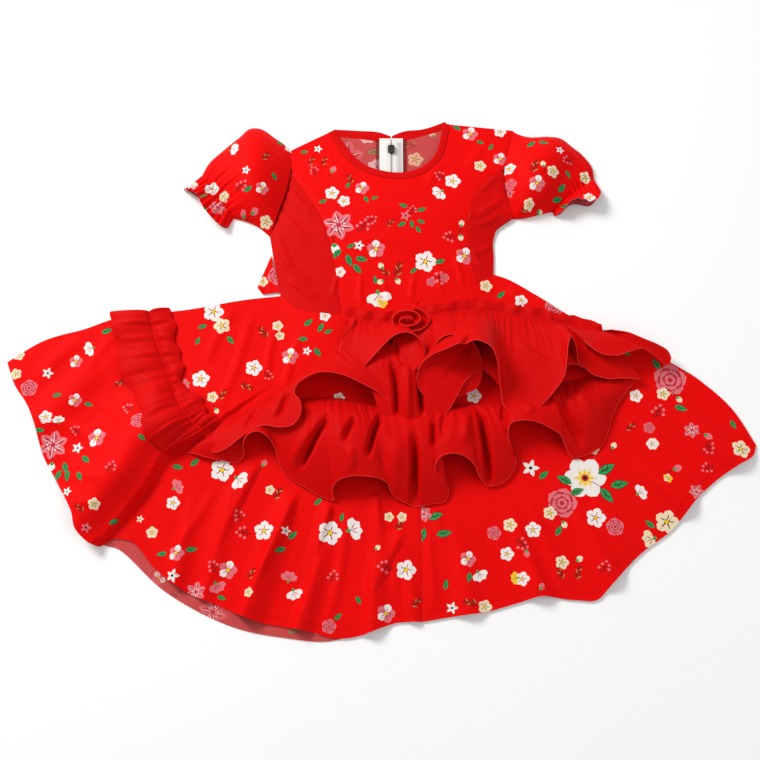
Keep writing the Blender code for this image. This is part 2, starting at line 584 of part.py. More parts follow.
def build_skirt_front():
    down = np.array((0.0, 0.09, 0.19, 0.29, 0.39, 0.48, 0.56, 0.63, 0.70, 0.77, 0.84, 0.92, 1.0))
    across = np.array((0.0, 0.05, 0.10, 0.15, 0.20, 0.25, 0.29, 0.325, 0.355, 0.38, 0.395, 0.41, 0.43,
                       0.47, 0.52, 0.57, 0.62, 0.67, 0.72, 0.77, 0.82, 0.87, 0.92, 0.96, 1.0))
    waist = curve(WAIST, across * 0.64)
    waist[:, 1] = waist_y(waist[:, 0]) - SEAM_GAP
    left = curve(SKIRT_LEFT_EDGE, down)
    hem = curve(HEM_LEFT, across)
    seam_x = FOLD_SEAM_X - SEAM_GAP / 2
    waist[-1, 0], hem[-1, 0] = seam_x, seam_x
    right = np.column_stack((np.full(len(down), seam_x), np.interp(down, (0, 1), (waist[-1, 1], hem[-1, 1]))))
    left[0], left[-1] = waist[0], hem[0]
    plan = coons(waist, hem, left, right, across, down)
    panel("skirt_front_left", plan, skirt_height, "print", BACK_TOP + SEAM_GAP)

    across = np.linspace(0, 1, 19)
    waist = curve(WAIST, 0.64 + across * 0.36)
    waist[:, 1] = waist_y(waist[:, 0]) - SEAM_GAP
    hem = curve(HEM_RIGHT, across)
    seam_x = FOLD_SEAM_X + SEAM_GAP / 2
    waist[0, 0], hem[0, 0] = seam_x, seam_x
    left = np.column_stack((np.full(len(down), seam_x), np.interp(down, (0, 1), (waist[0, 1], hem[0, 1]))))
    right = curve(SKIRT_RIGHT_EDGE, down)
    right[0], right[-1] = waist[-1], hem[-1]
    plan = coons(waist, hem, left, right, across, down)
    panel("skirt_front_right", plan, skirt_height, "print", BACK_TOP + SEAM_GAP)


def build_bodice_front():
    floor = BACK_TOP + SEAM_GAP
    gap = SEAM_GAP / 2

    def edge_of_centre(side, seam, start, count):
        upper = curve(side, np.linspace(0, start, 5))[:-1]
        lower = curve(seam, np.linspace(start, 1, count))
        return upper, lower

    down_count = SEAM_ROWS
    upper, lower = edge_of_centre(SIDE_LEFT, PRINCESS_LEFT, 0.16, down_count)
    left = np.concatenate((upper, lower + (gap, 0)))
    upper, lower = edge_of_centre(SIDE_RIGHT, PRINCESS_RIGHT, 0.24, down_count)
    right = np.concatenate((upper, lower - (gap, 0)))
    down = np.concatenate((np.linspace(0, 0.16, 5)[:-1], np.linspace(0.16, 1, down_count)))
    across = np.concatenate(((0.0, 0.08), NECK_PLACES, (0.91, 1.0)))
    top = curve(TOP_FRONT, across)
    spread = np.interp(across, (0, 0.16, 0.30, 0.49, 0.68, 0.82, 1), (0, 0.06, 0.20, 0.49, 0.78, 0.92, 1))
    bottom = left[-1] + (right[-1] - left[-1]) * spread[:, None]
    bottom[:, 1] = waist_y(bottom[:, 0]) + 0.1
    left[-1], right[-1] = bottom[0], bottom[-1]
    top[0], top[-1] = left[0], right[0]
    plan = coons(top, bottom, left, right, across, down, 8.0)
    panel("front_centre", plan, bodice_height, "print", floor)

    down = np.linspace(0, 1, SEAM_ROWS)[1:]
    across = np.linspace(0, 1, 8)
    for name, side, seam, start, sign in (("front_side_left", SIDE_LEFT, PRINCESS_LEFT, 0.16, 1),
                                          ("front_side_right", SIDE_RIGHT, PRINCESS_RIGHT, 0.24, -1)):
        outer = curve(side, start + down * (1 - start))
        inner = curve(seam, start + down * (1 - start))
        inner[:, 0] -= sign * gap
        ends = (outer, inner) if sign > 0 else (inner, outer)
        top = ends[0][0] + (ends[1][0] - ends[0][0]) * across[:, None]
        bottom = ends[0][-1] + (ends[1][-1] - ends[0][-1]) * across[:, None]
        bottom[:, 1] = waist_y(bottom[:, 0]) + 0.1
        ends[0][-1], ends[1][-1] = bottom[0], bottom[-1]
        panel(name, coons(top, bottom, ends[0], ends[1], across, down), bodice_height, "plain", floor)


def build_neck():
    places = np.array(NECK_PLACES)
    places[-1] -= 0.0005
    edge = curve(TOP_FRONT, places)
    inward = sideways(edge)
    inward *= np.sign(inward[8, 1])
    line = edge + inward * SEAM_GAP
    lift = np.linspace(-1, 1, len(edge))[:, None]
    width = inward * (BINDING_WIDTH - 1.5 * np.abs(lift) ** 6)
    band("neck_binding_front", line, width, lambda x, y: bodice_height(x, y) + 0.4, 2.0, "plain",
         BACK_TOP + SEAM_GAP)
    for side, lower, upper in (("left", TOP_BACK_LEFT, NECK_BACK_LEFT),
                               ("right", TOP_BACK_RIGHT, NECK_BACK_RIGHT)):
        if side == "left":
            base, rim = curve(lower, np.linspace(0.452, 1.0, 12)), curve(upper, np.linspace(0, 1, 12))
            base[-1, 0] = CENTRE_BACK - ZIP_LIPS / 2
        else:
            base, rim = curve(lower, np.linspace(0.0, 0.518, 12)), curve(upper, np.linspace(0, 1, 12))
            base[0, 0] = CENTRE_BACK + ZIP_LIPS / 2
        base[:, 1] += SEAM_GAP + 0.1
        band("neck_binding_back_" + side, base, rim - base, None, 1.0, "plain")


def build_zip():
    floor = BACK_TOP + SEAM_GAP
    rows = np.concatenate((np.linspace(ZIP_BOTTOM, 196, 3), np.linspace(200, ZIP_TOP - 2, 12)))
    for side, sign in (("left", -1), ("right", 1)):
        x = CENTRE_BACK + sign * (1.0 + np.linspace(0, 1, 5) * ZIP_TAPE)
        plan = np.dstack(np.meshgrid(x, rows))
        panel("zip_tape_" + side, plan, lambda a, b: floor + 1.2 + zip_bump(a, b), "tape", 0.0, 0.9)
    y, x = SLIDER_Y - 6.0, CENTRE_BACK
    top = 6.1
    blocks = [box("slider_body", (x - 3.6, y - 4.6, top), (x + 3.6, y + 4.6, top + 2.6), "black", 1.4),
              box("slider_front", (x - 0.5, y + 1.9, 0.35), (x + 0.5, y + 3.1, top + 0.6), "black", 0.1),
              box("slider_rear", (x - 0.5, y - 3.1, 0.35), (x + 0.5, y - 1.9, top + 0.6), "black", 0.1),
              box("slider_bridge", (x - 0.5, y - 3.1, 0.35), (x + 0.5, y + 3.1, 1.05), "black", 0.1)]
    join_union("zip_slider", blocks, "black")
    blocks = [box("tab_bar", (x - 2.6, y - 0.45, 1.45), (x + 2.6, y + 0.45, 2.35), "black", 0.1),
              box("tab_left", (x - 2.6, y - 5.6, 1.45), (x - 1.6, y + 0.45, 2.35), "black", 0.1),
              box("tab_right", (x + 1.6, y - 5.6, 1.45), (x + 2.6, y + 0.45, 2.35), "black", 0.1),
              box("tab_plate", (x - 2.6, y - 20.0, 1.45), (x + 2.6, y - 4.6, 2.35), "black", 1.0)]
    join_union("zip_pull", blocks, "black")


def build_tie():
    points = np.array(WAIST_TIE, float)
    start, end = points[[0, 3]], points[[1, 2]]
    down = np.linspace(0, 1, 5)[:, None, None]
    plan = start[None] + (end - start)[None] * down
    panel("waist_tie_left", plan, lambda x, y: np.full(np.shape(x), 2.2), "print", 0.0, 2.2)


def build():
    for old in list(bpy.data.objects):
        bpy.data.objects.remove(old, do_unlink=True)
    build_back()
    build_skirt_front()
    build_bodice_front()
    build_neck()
    build_zip()
    build_tie()
    sleeve("sleeve_left", SLEEVE_LEFT)
    sleeve("sleeve_right", SLEEVE_RIGHT)
    across = (0.0, 0.16, 0.38, 0.68, 1.0)
    ruffle("ruffle_lower", LOWER, across, 1.6)
    ruffle("ruffle_middle", MIDDLE, across, 1.6)
    ruffle("ruffle_upper", UPPER, (-1.0,) + across, 1.6, header=HEADER_WIDTH)
    side_trim("ruffle_side", SIDE_TRIM_LEFT, SIDE_TRIM_RIGHT, 2.0)
    rosette("rosette", ROSETTE)


build()
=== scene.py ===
import math

import bpy
import numpy as np
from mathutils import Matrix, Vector, geometry
from mathutils.bvhtree import BVHTree


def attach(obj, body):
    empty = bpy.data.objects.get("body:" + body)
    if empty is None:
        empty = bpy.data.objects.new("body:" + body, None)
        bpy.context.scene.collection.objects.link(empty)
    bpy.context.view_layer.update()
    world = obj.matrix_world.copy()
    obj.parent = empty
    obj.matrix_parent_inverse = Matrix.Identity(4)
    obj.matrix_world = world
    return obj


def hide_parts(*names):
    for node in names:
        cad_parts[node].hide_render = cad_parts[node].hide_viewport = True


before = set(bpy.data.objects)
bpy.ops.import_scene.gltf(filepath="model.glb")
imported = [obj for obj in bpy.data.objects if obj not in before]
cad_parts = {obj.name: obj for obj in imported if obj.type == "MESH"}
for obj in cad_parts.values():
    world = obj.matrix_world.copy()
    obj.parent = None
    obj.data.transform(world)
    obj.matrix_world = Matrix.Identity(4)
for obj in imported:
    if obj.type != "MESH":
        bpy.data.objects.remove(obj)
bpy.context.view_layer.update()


# The table, the light and the camera: the dress lies flat, front up, on a plain white table top under
# large soft lamps, and is seen from its hem end, well over it, so the far side looks a little shorter.
# All patterns below are in millimetres from PATTERN_ZERO, X across the dress and Y from hem to neck.
PATTERN_ZERO = (-4.0, -3.1)
LOOK_DOWN = math.radians(72.0)
EYE_DISTANCE = 1055.6
AIM = (-1.0, -23.0)
PHOTO_MIDDLE = 380.0

scene = bpy.context.scene
scene.view_settings.view_transform = "Standard"


def to_frame(points):
    """Pattern millimetres to metres of the frame."""
    return (np.asarray(points, float) - (PATTERN_ZERO[0], PATTERN_ZERO[1], 0.0)) * 0.001


def under_pixel(across, down, height):
    """The pattern point that a pixel of the photograph shows, on the surface z = height(x, y)."""
    u, v = across - PHOTO_MIDDLE, PHOTO_MIDDLE - down
    dy = math.cos(LOOK_DOWN) * EYE_DISTANCE + v * math.sin(LOOK_DOWN)
    dz = -math.sin(LOOK_DOWN) * EYE_DISTANCE + v * math.cos(LOOK_DOWN)
    level = 4.0
    for _ in range(4):
        reach = (level - EYE_DISTANCE * math.sin(LOOK_DOWN)) / dz
        x = AIM[0] + reach * u
        y = AIM[1] - EYE_DISTANCE * math.cos(LOOK_DOWN) + reach * dy
        level = float(np.ravel(height(np.array([x]), np.array([y])))[0])
    return x, y


eye_data = bpy.data.cameras.new("eye")
eye_data.lens = 50.0
eye_data.sensor_width = 36.0
eye_data.dof.use_dof = False
eye = bpy.data.objects.new("eye", eye_data)
eye.location = to_frame((AIM[0], AIM[1] - EYE_DISTANCE * math.cos(LOOK_DOWN),
                         EYE_DISTANCE * math.sin(LOOK_DOWN)))
eye.rotation_euler = (math.pi / 2 - LOOK_DOWN, 0, 0)
scene.collection.objects.link(eye)
scene.camera = eye

# columns: name, place, size, watts, colour
LAMPS = (
    ("lamp_window", (-1.15, 1.0, 1.25), 0.8, 33.0, (1.0, 0.98, 0.96)),
    ("lamp_fill", (1.3, -0.5, 1.5), 1.6, 7.5, (0.96, 0.98, 1.0)))
for name, place, size, watts, colour in LAMPS:
    lamp_data = bpy.data.lights.new(name, "AREA")
    lamp_data.shape = "DISK"
    lamp_data.size = size
    lamp_data.energy = watts
    lamp_data.color = colour
    lamp = bpy.data.objects.new(name, lamp_data)
    lamp.location = place
    lamp.rotation_euler = (Vector((0, 0, 0)) - Vector(place)).to_track_quat("-Z", "Y").to_euler()
    scene.collection.objects.link(lamp)

room = bpy.data.worlds.new("room")
room.use_nodes = True
room.node_tree.nodes["Background"].inputs["Color"].default_value = (1.0, 1.0, 1.0, 1)
room.node_tree.nodes["Background"].inputs["Strength"].default_value = 0.46
scene.world = room

table_mesh = bpy.data.meshes.new("table_top")
table_mesh.from_pydata([(-9, -9, 0), (9, -9, 0), (9, 9, 0), (-9, 9, 0)], [], [(0, 1, 2, 3)])
table_top = bpy.data.objects.new("table_top", table_mesh)
white_board = bpy.data.materials.new("white_board")
white_board.use_nodes = True
board = white_board.node_tree.nodes["Principled BSDF"]
board.inputs["Roughness"].default_value = 0.9
board.inputs["Specular IOR Level"].default_value = 0.1
grain = white_board.node_tree.nodes.new("ShaderNodeTexNoise")
grain.inputs["Scale"].default_value = 6.0
shade = white_board.node_tree.nodes.new("ShaderNodeMix")
shade.data_type = "RGBA"
shade.inputs["A"].default_value = (0.97, 0.97, 0.97, 1)
shade.inputs["B"].default_value = (0.99, 0.99, 0.99, 1)
white_board.node_tree.links.new(grain.outputs["Fac"], shade.inputs["Factor"])
white_board.node_tree.links.new(shade.outputs["Result"], board.inputs["Base Color"])
table_mesh.materials.append(white_board)
scene.collection.objects.link(table_top)


# The back of the circle skirt: one piece of printed cotton crepe, face down on the table, so that the
# paler wrong side looks up past the front hem at the lower left. It is cut a little longer than the front
# and its hem is turned once and stitched.
WAIST = (
    (0.00, -103, 67), (0.06, -89, 55), (0.18, -62, 47), (0.30, -36, 45), (0.42, -11, 47),
    (0.55, 19, 53), (0.64, 38, 57), (0.80, 72, 65), (0.90, 94, 76), (1.00, 116, 91))
SKIRT_LEFT_EDGE = (
    (0.00, -103, 66.6), (0.12, -135, 63), (0.35, -195, 52), (0.60, -273, 41), (0.72, -299, 31),
    (0.90, -346, 15), (1.00, -375, -5))
SKIRT_RIGHT_EDGE = (
    (0.00, 116, 90.6), (0.10, 133, 84), (0.22, 166, 63), (0.32, 194, 44), (0.42, 225, 29),
    (0.55, 258, 16), (0.68, 290, -5), (0.80, 318, -24), (0.92, 350, -58), (1.00, 367, -91))
BACK_HEM = (
    (0.00, -373, -8), (0.06, -350, -49), (0.14, -329, -98), (0.22, -292, -157), (0.28, -266, -187),
    (0.32, -248, -193), (0.38, -204, -231), (0.44, -152, -259), (0.52, -91, -274),
    (0.57, -45, -277), (0.62, 5, -260), (0.70, 98, -244), (0.76, 150, -231), (0.80, 200, -230),
    (0.84, 240, -196), (0.88, 290, -150), (0.95, 341, -107), (1.00, 364, -92))
BACK_LEVEL = 0.95
WAIST_MIDDLE = 11.0
BACK_WAIST_DRAW = 0.985     # the back's waist is this much narrower, out of sight
CREPE = 0.75                # thickness of the printed cloth
INKS = {
    "ground": (0.86, 0.002, 0.002), "white": (0.90, 0.84, 0.80), "cream": (0.90, 0.74, 0.50),
    "pink": (0.80, 0.17, 0.20), "rose": (0.52, 0.03, 0.05), "green": (0.03, 0.36, 0.10),
    "dark": (0.05, 0.012, 0.012), "yellow": (0.92, 0.60, 0.04)}
INK_NAMES = list(INKS)
# the inks strike through pale and red on the wrong side
WRONG_GROUND = (0.60, 0.075, 0.075)


def curve(rows, places):
    """Smooth curve through rows of (place, value, ...), broken where a place is repeated."""
    rows = np.asarray(rows, float)
    knots, values = rows[:, 0], rows[:, 1:]
    places = np.clip(np.asarray(places, float), knots[0], knots[-1])
    result = np.zeros(places.shape + (values.shape[1],))
    starts = [0] + [i for i in range(1, len(rows)) if knots[i] == knots[i - 1]]
    for start, end in zip(starts, starts[1:] + [len(rows)]):
        k, v = knots[start:end], values[start:end]
        slope = np.gradient(v, k, axis=0)
        inside = (places >= k[0]) & (places <= k[-1])
        p = places[inside]
        i = np.clip(np.searchsorted(k, p, side="right") - 1, 0, len(k) - 2)
        step = (k[i + 1] - k[i])[:, None]
        t = (p[:, None] - k[i][:, None]) / step
        result[inside] = ((2 * t**3 - 3 * t**2 + 1) * v[i] + (t**3 - 2 * t**2 + t) * step * slope[i]
                          + (3 * t**2 - 2 * t**3) * v[i + 1] + (t**3 - t**2) * step * slope[i + 1])
    return result


def filled(top, bottom, left, right, across, down, decay=1.0):
    """Grid of plan points between four edges that share their corners."""
    u, v = across[None, :, None], down[:, None, None]
    chord_left = (1 - down[:, None]) * left[0] + down[:, None] * left[-1]
    chord_right = (1 - down[:, None]) * right[0] + down[:, None] * right[-1]
    return ((1 - v) * top[None] + v * bottom[None] + (1 - u) ** decay * (left - chord_left)[:, None]
            + u ** decay * (right - chord_right)[:, None])


def fabric(name, colour, roughness=0.62, sheen=0.18, thread=0.0005, relief=0.22, mottle=0.10):
    """Woven cloth: crossed threads as relief, slubs, and a slow change of depth in the dye."""
    made = bpy.data.materials.new(name)
    made.use_nodes = True
    nodes, links = made.node_tree.nodes, made.node_tree.links
    shader = nodes["Principled BSDF"]
    shader.inputs["Roughness"].default_value = roughness
    shader.inputs["Specular IOR Level"].default_value = 0.05
    shader.inputs["Sheen Weight"].default_value = sheen
    shader.inputs["Sheen Roughness"].default_value = 0.45
    shader.inputs["Sheen Tint"].default_value = tuple(0.04 + 0.96 * c for c in colour) + (1,)
    place = nodes.new("ShaderNodeTexCoord")
    threads = []
    for axis, stretch in (("X", 1.0), ("Y", 1.12)):
        wave = nodes.new("ShaderNodeTexWave")
        wave.bands_direction = axis
        wave.inputs["Scale"].default_value = 0.314 / (2 * thread * stretch)
        wave.inputs["Distortion"].default_value = 0.6
        wave.inputs["Detail"].default_value = 1.0
        links.new(place.outputs["Object"], wave.inputs["Vector"])
        threads.append(wave)
    crossed = nodes.new("ShaderNodeMath")
    crossed.operation = "MULTIPLY"
    links.new(threads[0].outputs["Fac"], crossed.inputs[0])
    links.new(threads[1].outputs["Fac"], crossed.inputs[1])
    slub = nodes.new("ShaderNodeTexNoise")
    slub.inputs["Scale"].default_value = 900.0
    slub.inputs["Detail"].default_value = 2.0
    links.new(place.outputs["Object"], slub.inputs["Vector"])
    raised = nodes.new("ShaderNodeMath")
    raised.operation = "ADD"
    links.new(crossed.outputs[0], raised.inputs[0])
    links.new(slub.outputs["Fac"], raised.inputs[1])
    bump = nodes.new("ShaderNodeBump")
    bump.inputs["Strength"].default_value = relief
    bump.inputs["Distance"].default_value = 0.00012
    links.new(raised.outputs[0], bump.inputs["Height"])
    links.new(bump.outputs["Normal"], shader.inputs["Normal"])
    cloud = nodes.new("ShaderNodeTexNoise")
    cloud.inputs["Scale"].default_value = 26.0
    cloud.inputs["Detail"].default_value = 3.0
    links.new(place.outputs["Object"], cloud.inputs["Vector"])
    dye = nodes.new("ShaderNodeMix")
    dye.data_type = "RGBA"
    dye.inputs["A"].default_value = tuple(c * (1 - mottle) for c in colour) + (1,)
    dye.inputs["B"].default_value = tuple(min(1, c * (1 + mottle * 0.6)) for c in colour) + (1,)
    links.new(cloud.outputs["Fac"], dye.inputs["Factor"])
    worn = nodes.new("ShaderNodeMix")
    worn.data_type = "RGBA"
    worn.blend_type = "MULTIPLY"
    worn.inputs["B"].default_value = (0.86, 0.86, 0.86, 1)
    links.new(slub.outputs["Fac"], worn.inputs["Factor"])
    links.new(dye.outputs["Result"], worn.inputs["A"])
    links.new(worn.outputs["Result"], shader.inputs["Base Color"])
    return made


right_side = [fabric("crepe_" + ink, colour, mottle=0.08) for ink, colour in INKS.items()]
wrong_side = [fabric("wrong_side_" + ink, tuple(0.5 * a + 0.5 * b for a, b in zip(WRONG_GROUND, colour))
                     if ink != "ground" else WRONG_GROUND, roughness=0.75, sheen=0.1)
              for ink, colour in INKS.items()]


def facing(grid):
    """Outward unit normals of a grid of points, turned so that the first row looks up."""
    found = np.cross(np.gradient(grid, axis=1), np.gradient(grid, axis=0))
    found /= np.linalg.norm(found, axis=2)[..., None] + 1e-12
    return found * (1 if found[0, :, 2].mean() > 0 else -1)


def shell(name, points, outward, faces, skins, finishes, wall, under_skins=None, floor=0.0):
    """Cloth as a thin closed shell: its upper face, a lower one a wall away, and the cut edge."""
    points, outward = np.asarray(points, float), np.asarray(outward, float)
    count = len(points)
    under = points - outward * wall
    under[:, 2] = np.maximum(under[:, 2], floor)
    steps = {(a, b) for face in faces for a, b in zip(face, face[1:] + face[:1])}
    rim = [(b, a, a + count, b + count) for a, b in steps if (b, a) not in steps]
    mesh = bpy.data.meshes.new(name)
    mesh.from_pydata(to_frame(np.concatenate((points, under))).tolist(), [],
                     list(faces) + [tuple(i + count for i in reversed(face)) for face in faces] + rim)
    for finish in finishes:
        mesh.materials.append(finish)
    below = list(skins) if under_skins is None else list(under_skins)
    edge_skin = [below[0] if below else 0] * len(rim)
    mesh.polygons.foreach_set("material_index", np.array(list(skins) + below + edge_skin, "i"))
    mesh.polygons.foreach_set("use_smooth", np.ones(len(mesh.polygons), bool))
    corner = np.zeros(len(mesh.loops), "i")
    mesh.loops.foreach_get("vertex_index", corner)
    turned = np.concatenate((outward, -outward))[corner]
    turned[sum(len(face) for face in faces) * 2:] = 0
    mesh.normals_split_custom_set(turned.tolist())
    made = bpy.data.objects.new(name + "_sewn", mesh)
    scene.collection.objects.link(made)
    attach(made, "dress")
    return made


def strip(grid):
    """The faces of a grid of points, wound so that they look the way facing() does."""
    rows, columns = grid.shape[:2]
    at = np.arange(rows * columns).reshape(rows, columns)
    quads = np.stack((at[:-1, :-1], at[:-1, 1:], at[1:, 1:], at[1:, :-1]), axis=-1).reshape(-1, 4)
    a, b, c = (grid.reshape(-1, 3)[quads[:, i]] for i in (0, 1, 3))
    up = np.cross(b - a, c - a)
    agree = (up * facing(grid).reshape(-1, 3)[quads[:, 0]]).sum()
    return [tuple(int(i) for i in (quad if agree > 0 else quad[::-1])) for quad in quads]


def lens(length, width, fullness=1.0, roundness=1.0, points=6):
    """A petal or leaf outline with its foot at the origin, pointing along X."""
    along = np.linspace(0, 1, points)
    half = width / 2 * np.sin(np.pi * along**fullness).clip(0) ** roundness
    side = np.column_stack((along * length, half))
    return np.concatenate((side * (1, -1), side[-2:0:-1]))


def disc(radius, points=8):
    turn = np.linspace(0, 2 * math.pi, points, endpoint=False)
    return np.column_stack((np.cos(turn), np.sin(turn))) * radius


def spun(outline, degrees, at=(0.0, 0.0)):
    turn = math.radians(degrees)
    return np.column_stack((outline[:, 0] * math.cos(turn) - outline[:, 1] * math.sin(turn) + at[0],
                            outline[:, 0] * math.sin(turn) + outline[:, 1] * math.cos(turn) + at[1]))


def polar(length, degrees):
    return length * math.cos(math.radians(degrees)), length * math.sin(math.radians(degrees))


def motif(kind, size, ink):
    """One flower, leaf or sprig of the print, as a list of inks and outlines, the later on top."""
    drawn = []
    if kind == "blossom":
        second = {"pink": "white", "white": "white", "cream": "cream", "yellow": "cream"}[ink]
        for i in range(5):
            drawn.append((second if i % 2 else ink, spun(lens(size, size * 0.82, 1.5, 0.62), i * 72)))
        for i in range(5):
            drawn.append(("rose" if ink != "cream" else "dark",
                          spun(lens(size * 0.55, size * 0.09), i * 72, polar(size * 0.1, i * 72))))
        drawn.append(("yellow", disc(size * 0.22)))
        for i in range(4):
            drawn.append(("dark", disc(size * 0.07, 5) + polar(size * 0.2, i * 90 + 20)))
    elif kind == "star":
        for i in range(5):
            drawn.append((ink, spun(lens(size, size * 0.5, 0.9), i * 72)))
        drawn.append(("dark", disc(size * 0.2, 6)))
    elif kind == "shell":
        for angle in (-58, 58, -22, 22):
            drawn.append((ink, spun(lens(size * 1.15, size * 0.72, 1.5, 0.6), angle, (-size * 0.4, 0))))
        for angle in (-40, 0, 40):
            drawn.append(("rose", spun(lens(size * 0.75, size * 0.08), angle, (-size * 0.3, 0))))
        drawn.append(("green", spun(lens(size * 0.5, size * 0.3), 180, (-size * 0.25, 0))))
    elif kind == "bud":
        drawn.append(("dark", spun(lens(size * 1.1, size * 0.12), 180)))
        drawn.append((ink, lens(size * 1.3, size * 1.0, 1.1, 0.8)))
        drawn.append(("green", lens(size * 0.5, size * 0.6)))
    elif kind == "leaf":
        drawn.append(("dark", lens(size * 1.06, size * 0.52, 0.85)))
        drawn.append((ink, lens(size, size * 0.44, 0.85) + (size * 0.02, 0)))
        drawn.append(("dark", lens(size * 0.92, size * 0.06)))
        for along, side in ((0.25, 1), (0.4, -1), (0.55, 1)):
            drawn.append(("dark", spun(lens(size * 0.24, size * 0.05, points=4), side * 42, (along * size, 0))))
    elif kind == "twig":
        drawn.append(("dark", lens(size * 1.5, size * 0.09)))
        for along, angle, length in ((0.25, 50, 0.6), (0.4, -48, 0.66), (0.7, 42, 0.5), (0.85, -40, 0.5),
                                     (1.2, 20, 0.3)):
            tip = (along * size + polar(length * size, angle)[0], polar(length * size, angle)[1])
            drawn.append(("dark", spun(lens(length * size, size * 0.08, points=4), angle, (along * size, 0))))
            drawn.append((ink, disc(size * 0.15, 7) + tip))
    elif kind == "fern":
        drawn.append(("dark", lens(size * 1.5, size * 0.08)))
        for i in range(5):
            for side in (1, -1):
                leaf_ink = "dark" if (i + (side > 0)) % 3 else ink
                drawn.append((leaf_ink, spun(lens(size * (0.58 - 0.06 * i), size * 0.10, points=4), side * 44,
                                             (size * (0.12 + 0.27 * i), 0))))
    elif kind == "lily":
        for i, angle in enumerate((0, 62, 125, 182, 245, 305)):
            drawn.append(("pink", spun(lens(size, size * 0.62, 1.1, 0.75), angle)))
            drawn.append(("rose", spun(lens(size * 0.78, size * 0.30), angle)))
            drawn.append(("pink", spun(lens(size * 0.5, size * 0.16), angle)))
            drawn.append(("white", spun(lens(size * 0.9, size * 0.05), angle + 6)))
        drawn.append(("rose", disc(size * 0.16)))
        for angle in (30, 95, 150, 215, 275):
            drawn.append(("white", disc(size * 0.07, 5) + polar(size * 0.36, angle)))
    elif kind == "rose":
        for ring, ring_ink, offset in ((1.0, "pink", 0), (0.78, "rose", 34), (0.66, "pink", 50),
                                       (0.46, "rose", 12), (0.34, "pink", 70)):
            for i in range(5):
                drawn.append((ring_ink, spun(lens(size * ring, size * ring * 0.95, 1.6, 0.55), i * 72 + offset)))
        drawn.append(("rose", disc(size * 0.16)))
    elif kind == "grand":
        for i in range(6):
            drawn.append((ink, spun(lens(size, size * 0.74, 1.5, 0.6, 9), i * 60)))
            drawn.append(("cream", spun(lens(size * 0.6, size * 0.2), i * 60)))
            drawn.append(("rose", spun(lens(size * 0.95, size * 0.035), i * 60 + 30)))
        for i in range(8):
            drawn.append(("yellow", spun(lens(size * 0.44, size * 0.16), i * 45)))
        drawn.append(("rose", disc(size * 0.17)))
        drawn.append(("dark", disc(size * 0.08)))
    return drawn


def print_from(rows, height):
    """The print's outlines in the plan, from rows of (kind, pixel across, pixel down, size, turn, ink)."""
    shapes = []
    for kind, across, down, size, turn, ink in rows:
        at = under_pixel(across, down, height)
        shapes += [(shape_ink, spun(outline, turn, at)) for shape_ink, outline in motif(kind, size, ink)]
    return shapes


STREWN = (("blossom", 8, "white"), ("leaf", 11, "green"), ("twig", 9, "pink"), ("blossom", 7, "pink"),
          ("fern", 9, "green"), ("bud", 5, "cream"), ("shell", 8, "white"), ("rose", 11, "pink"),
          ("leaf", 9, "green"), ("blossom", 6, "cream"), ("lily", 14, "pink"), ("star", 6, "white"))


def strewn(low, high, spacing, start=0, scale=1.0):
    """The same print on the sides that the photograph hides, spread evenly between two corners."""
    size_x, size_y = high[0] - low[0], high[1] - low[1]
    shapes = []
    for i in range(int(size_x * size_y / spacing**2)):
        kind, size, ink = STREWN[(i * 5 + start) % len(STREWN)]
        at = (low[0] + size_x * ((0.5 + (i + start) * 0.754877666) % 1),
              low[1] + size_y * ((0.5 + (i + start) * 0.569840291) % 1))
        shapes += [(shape_ink, spun(outline, i * 137.5, at)) for shape_ink, outline in motif(kind, size * scale, ink)]
    return shapes


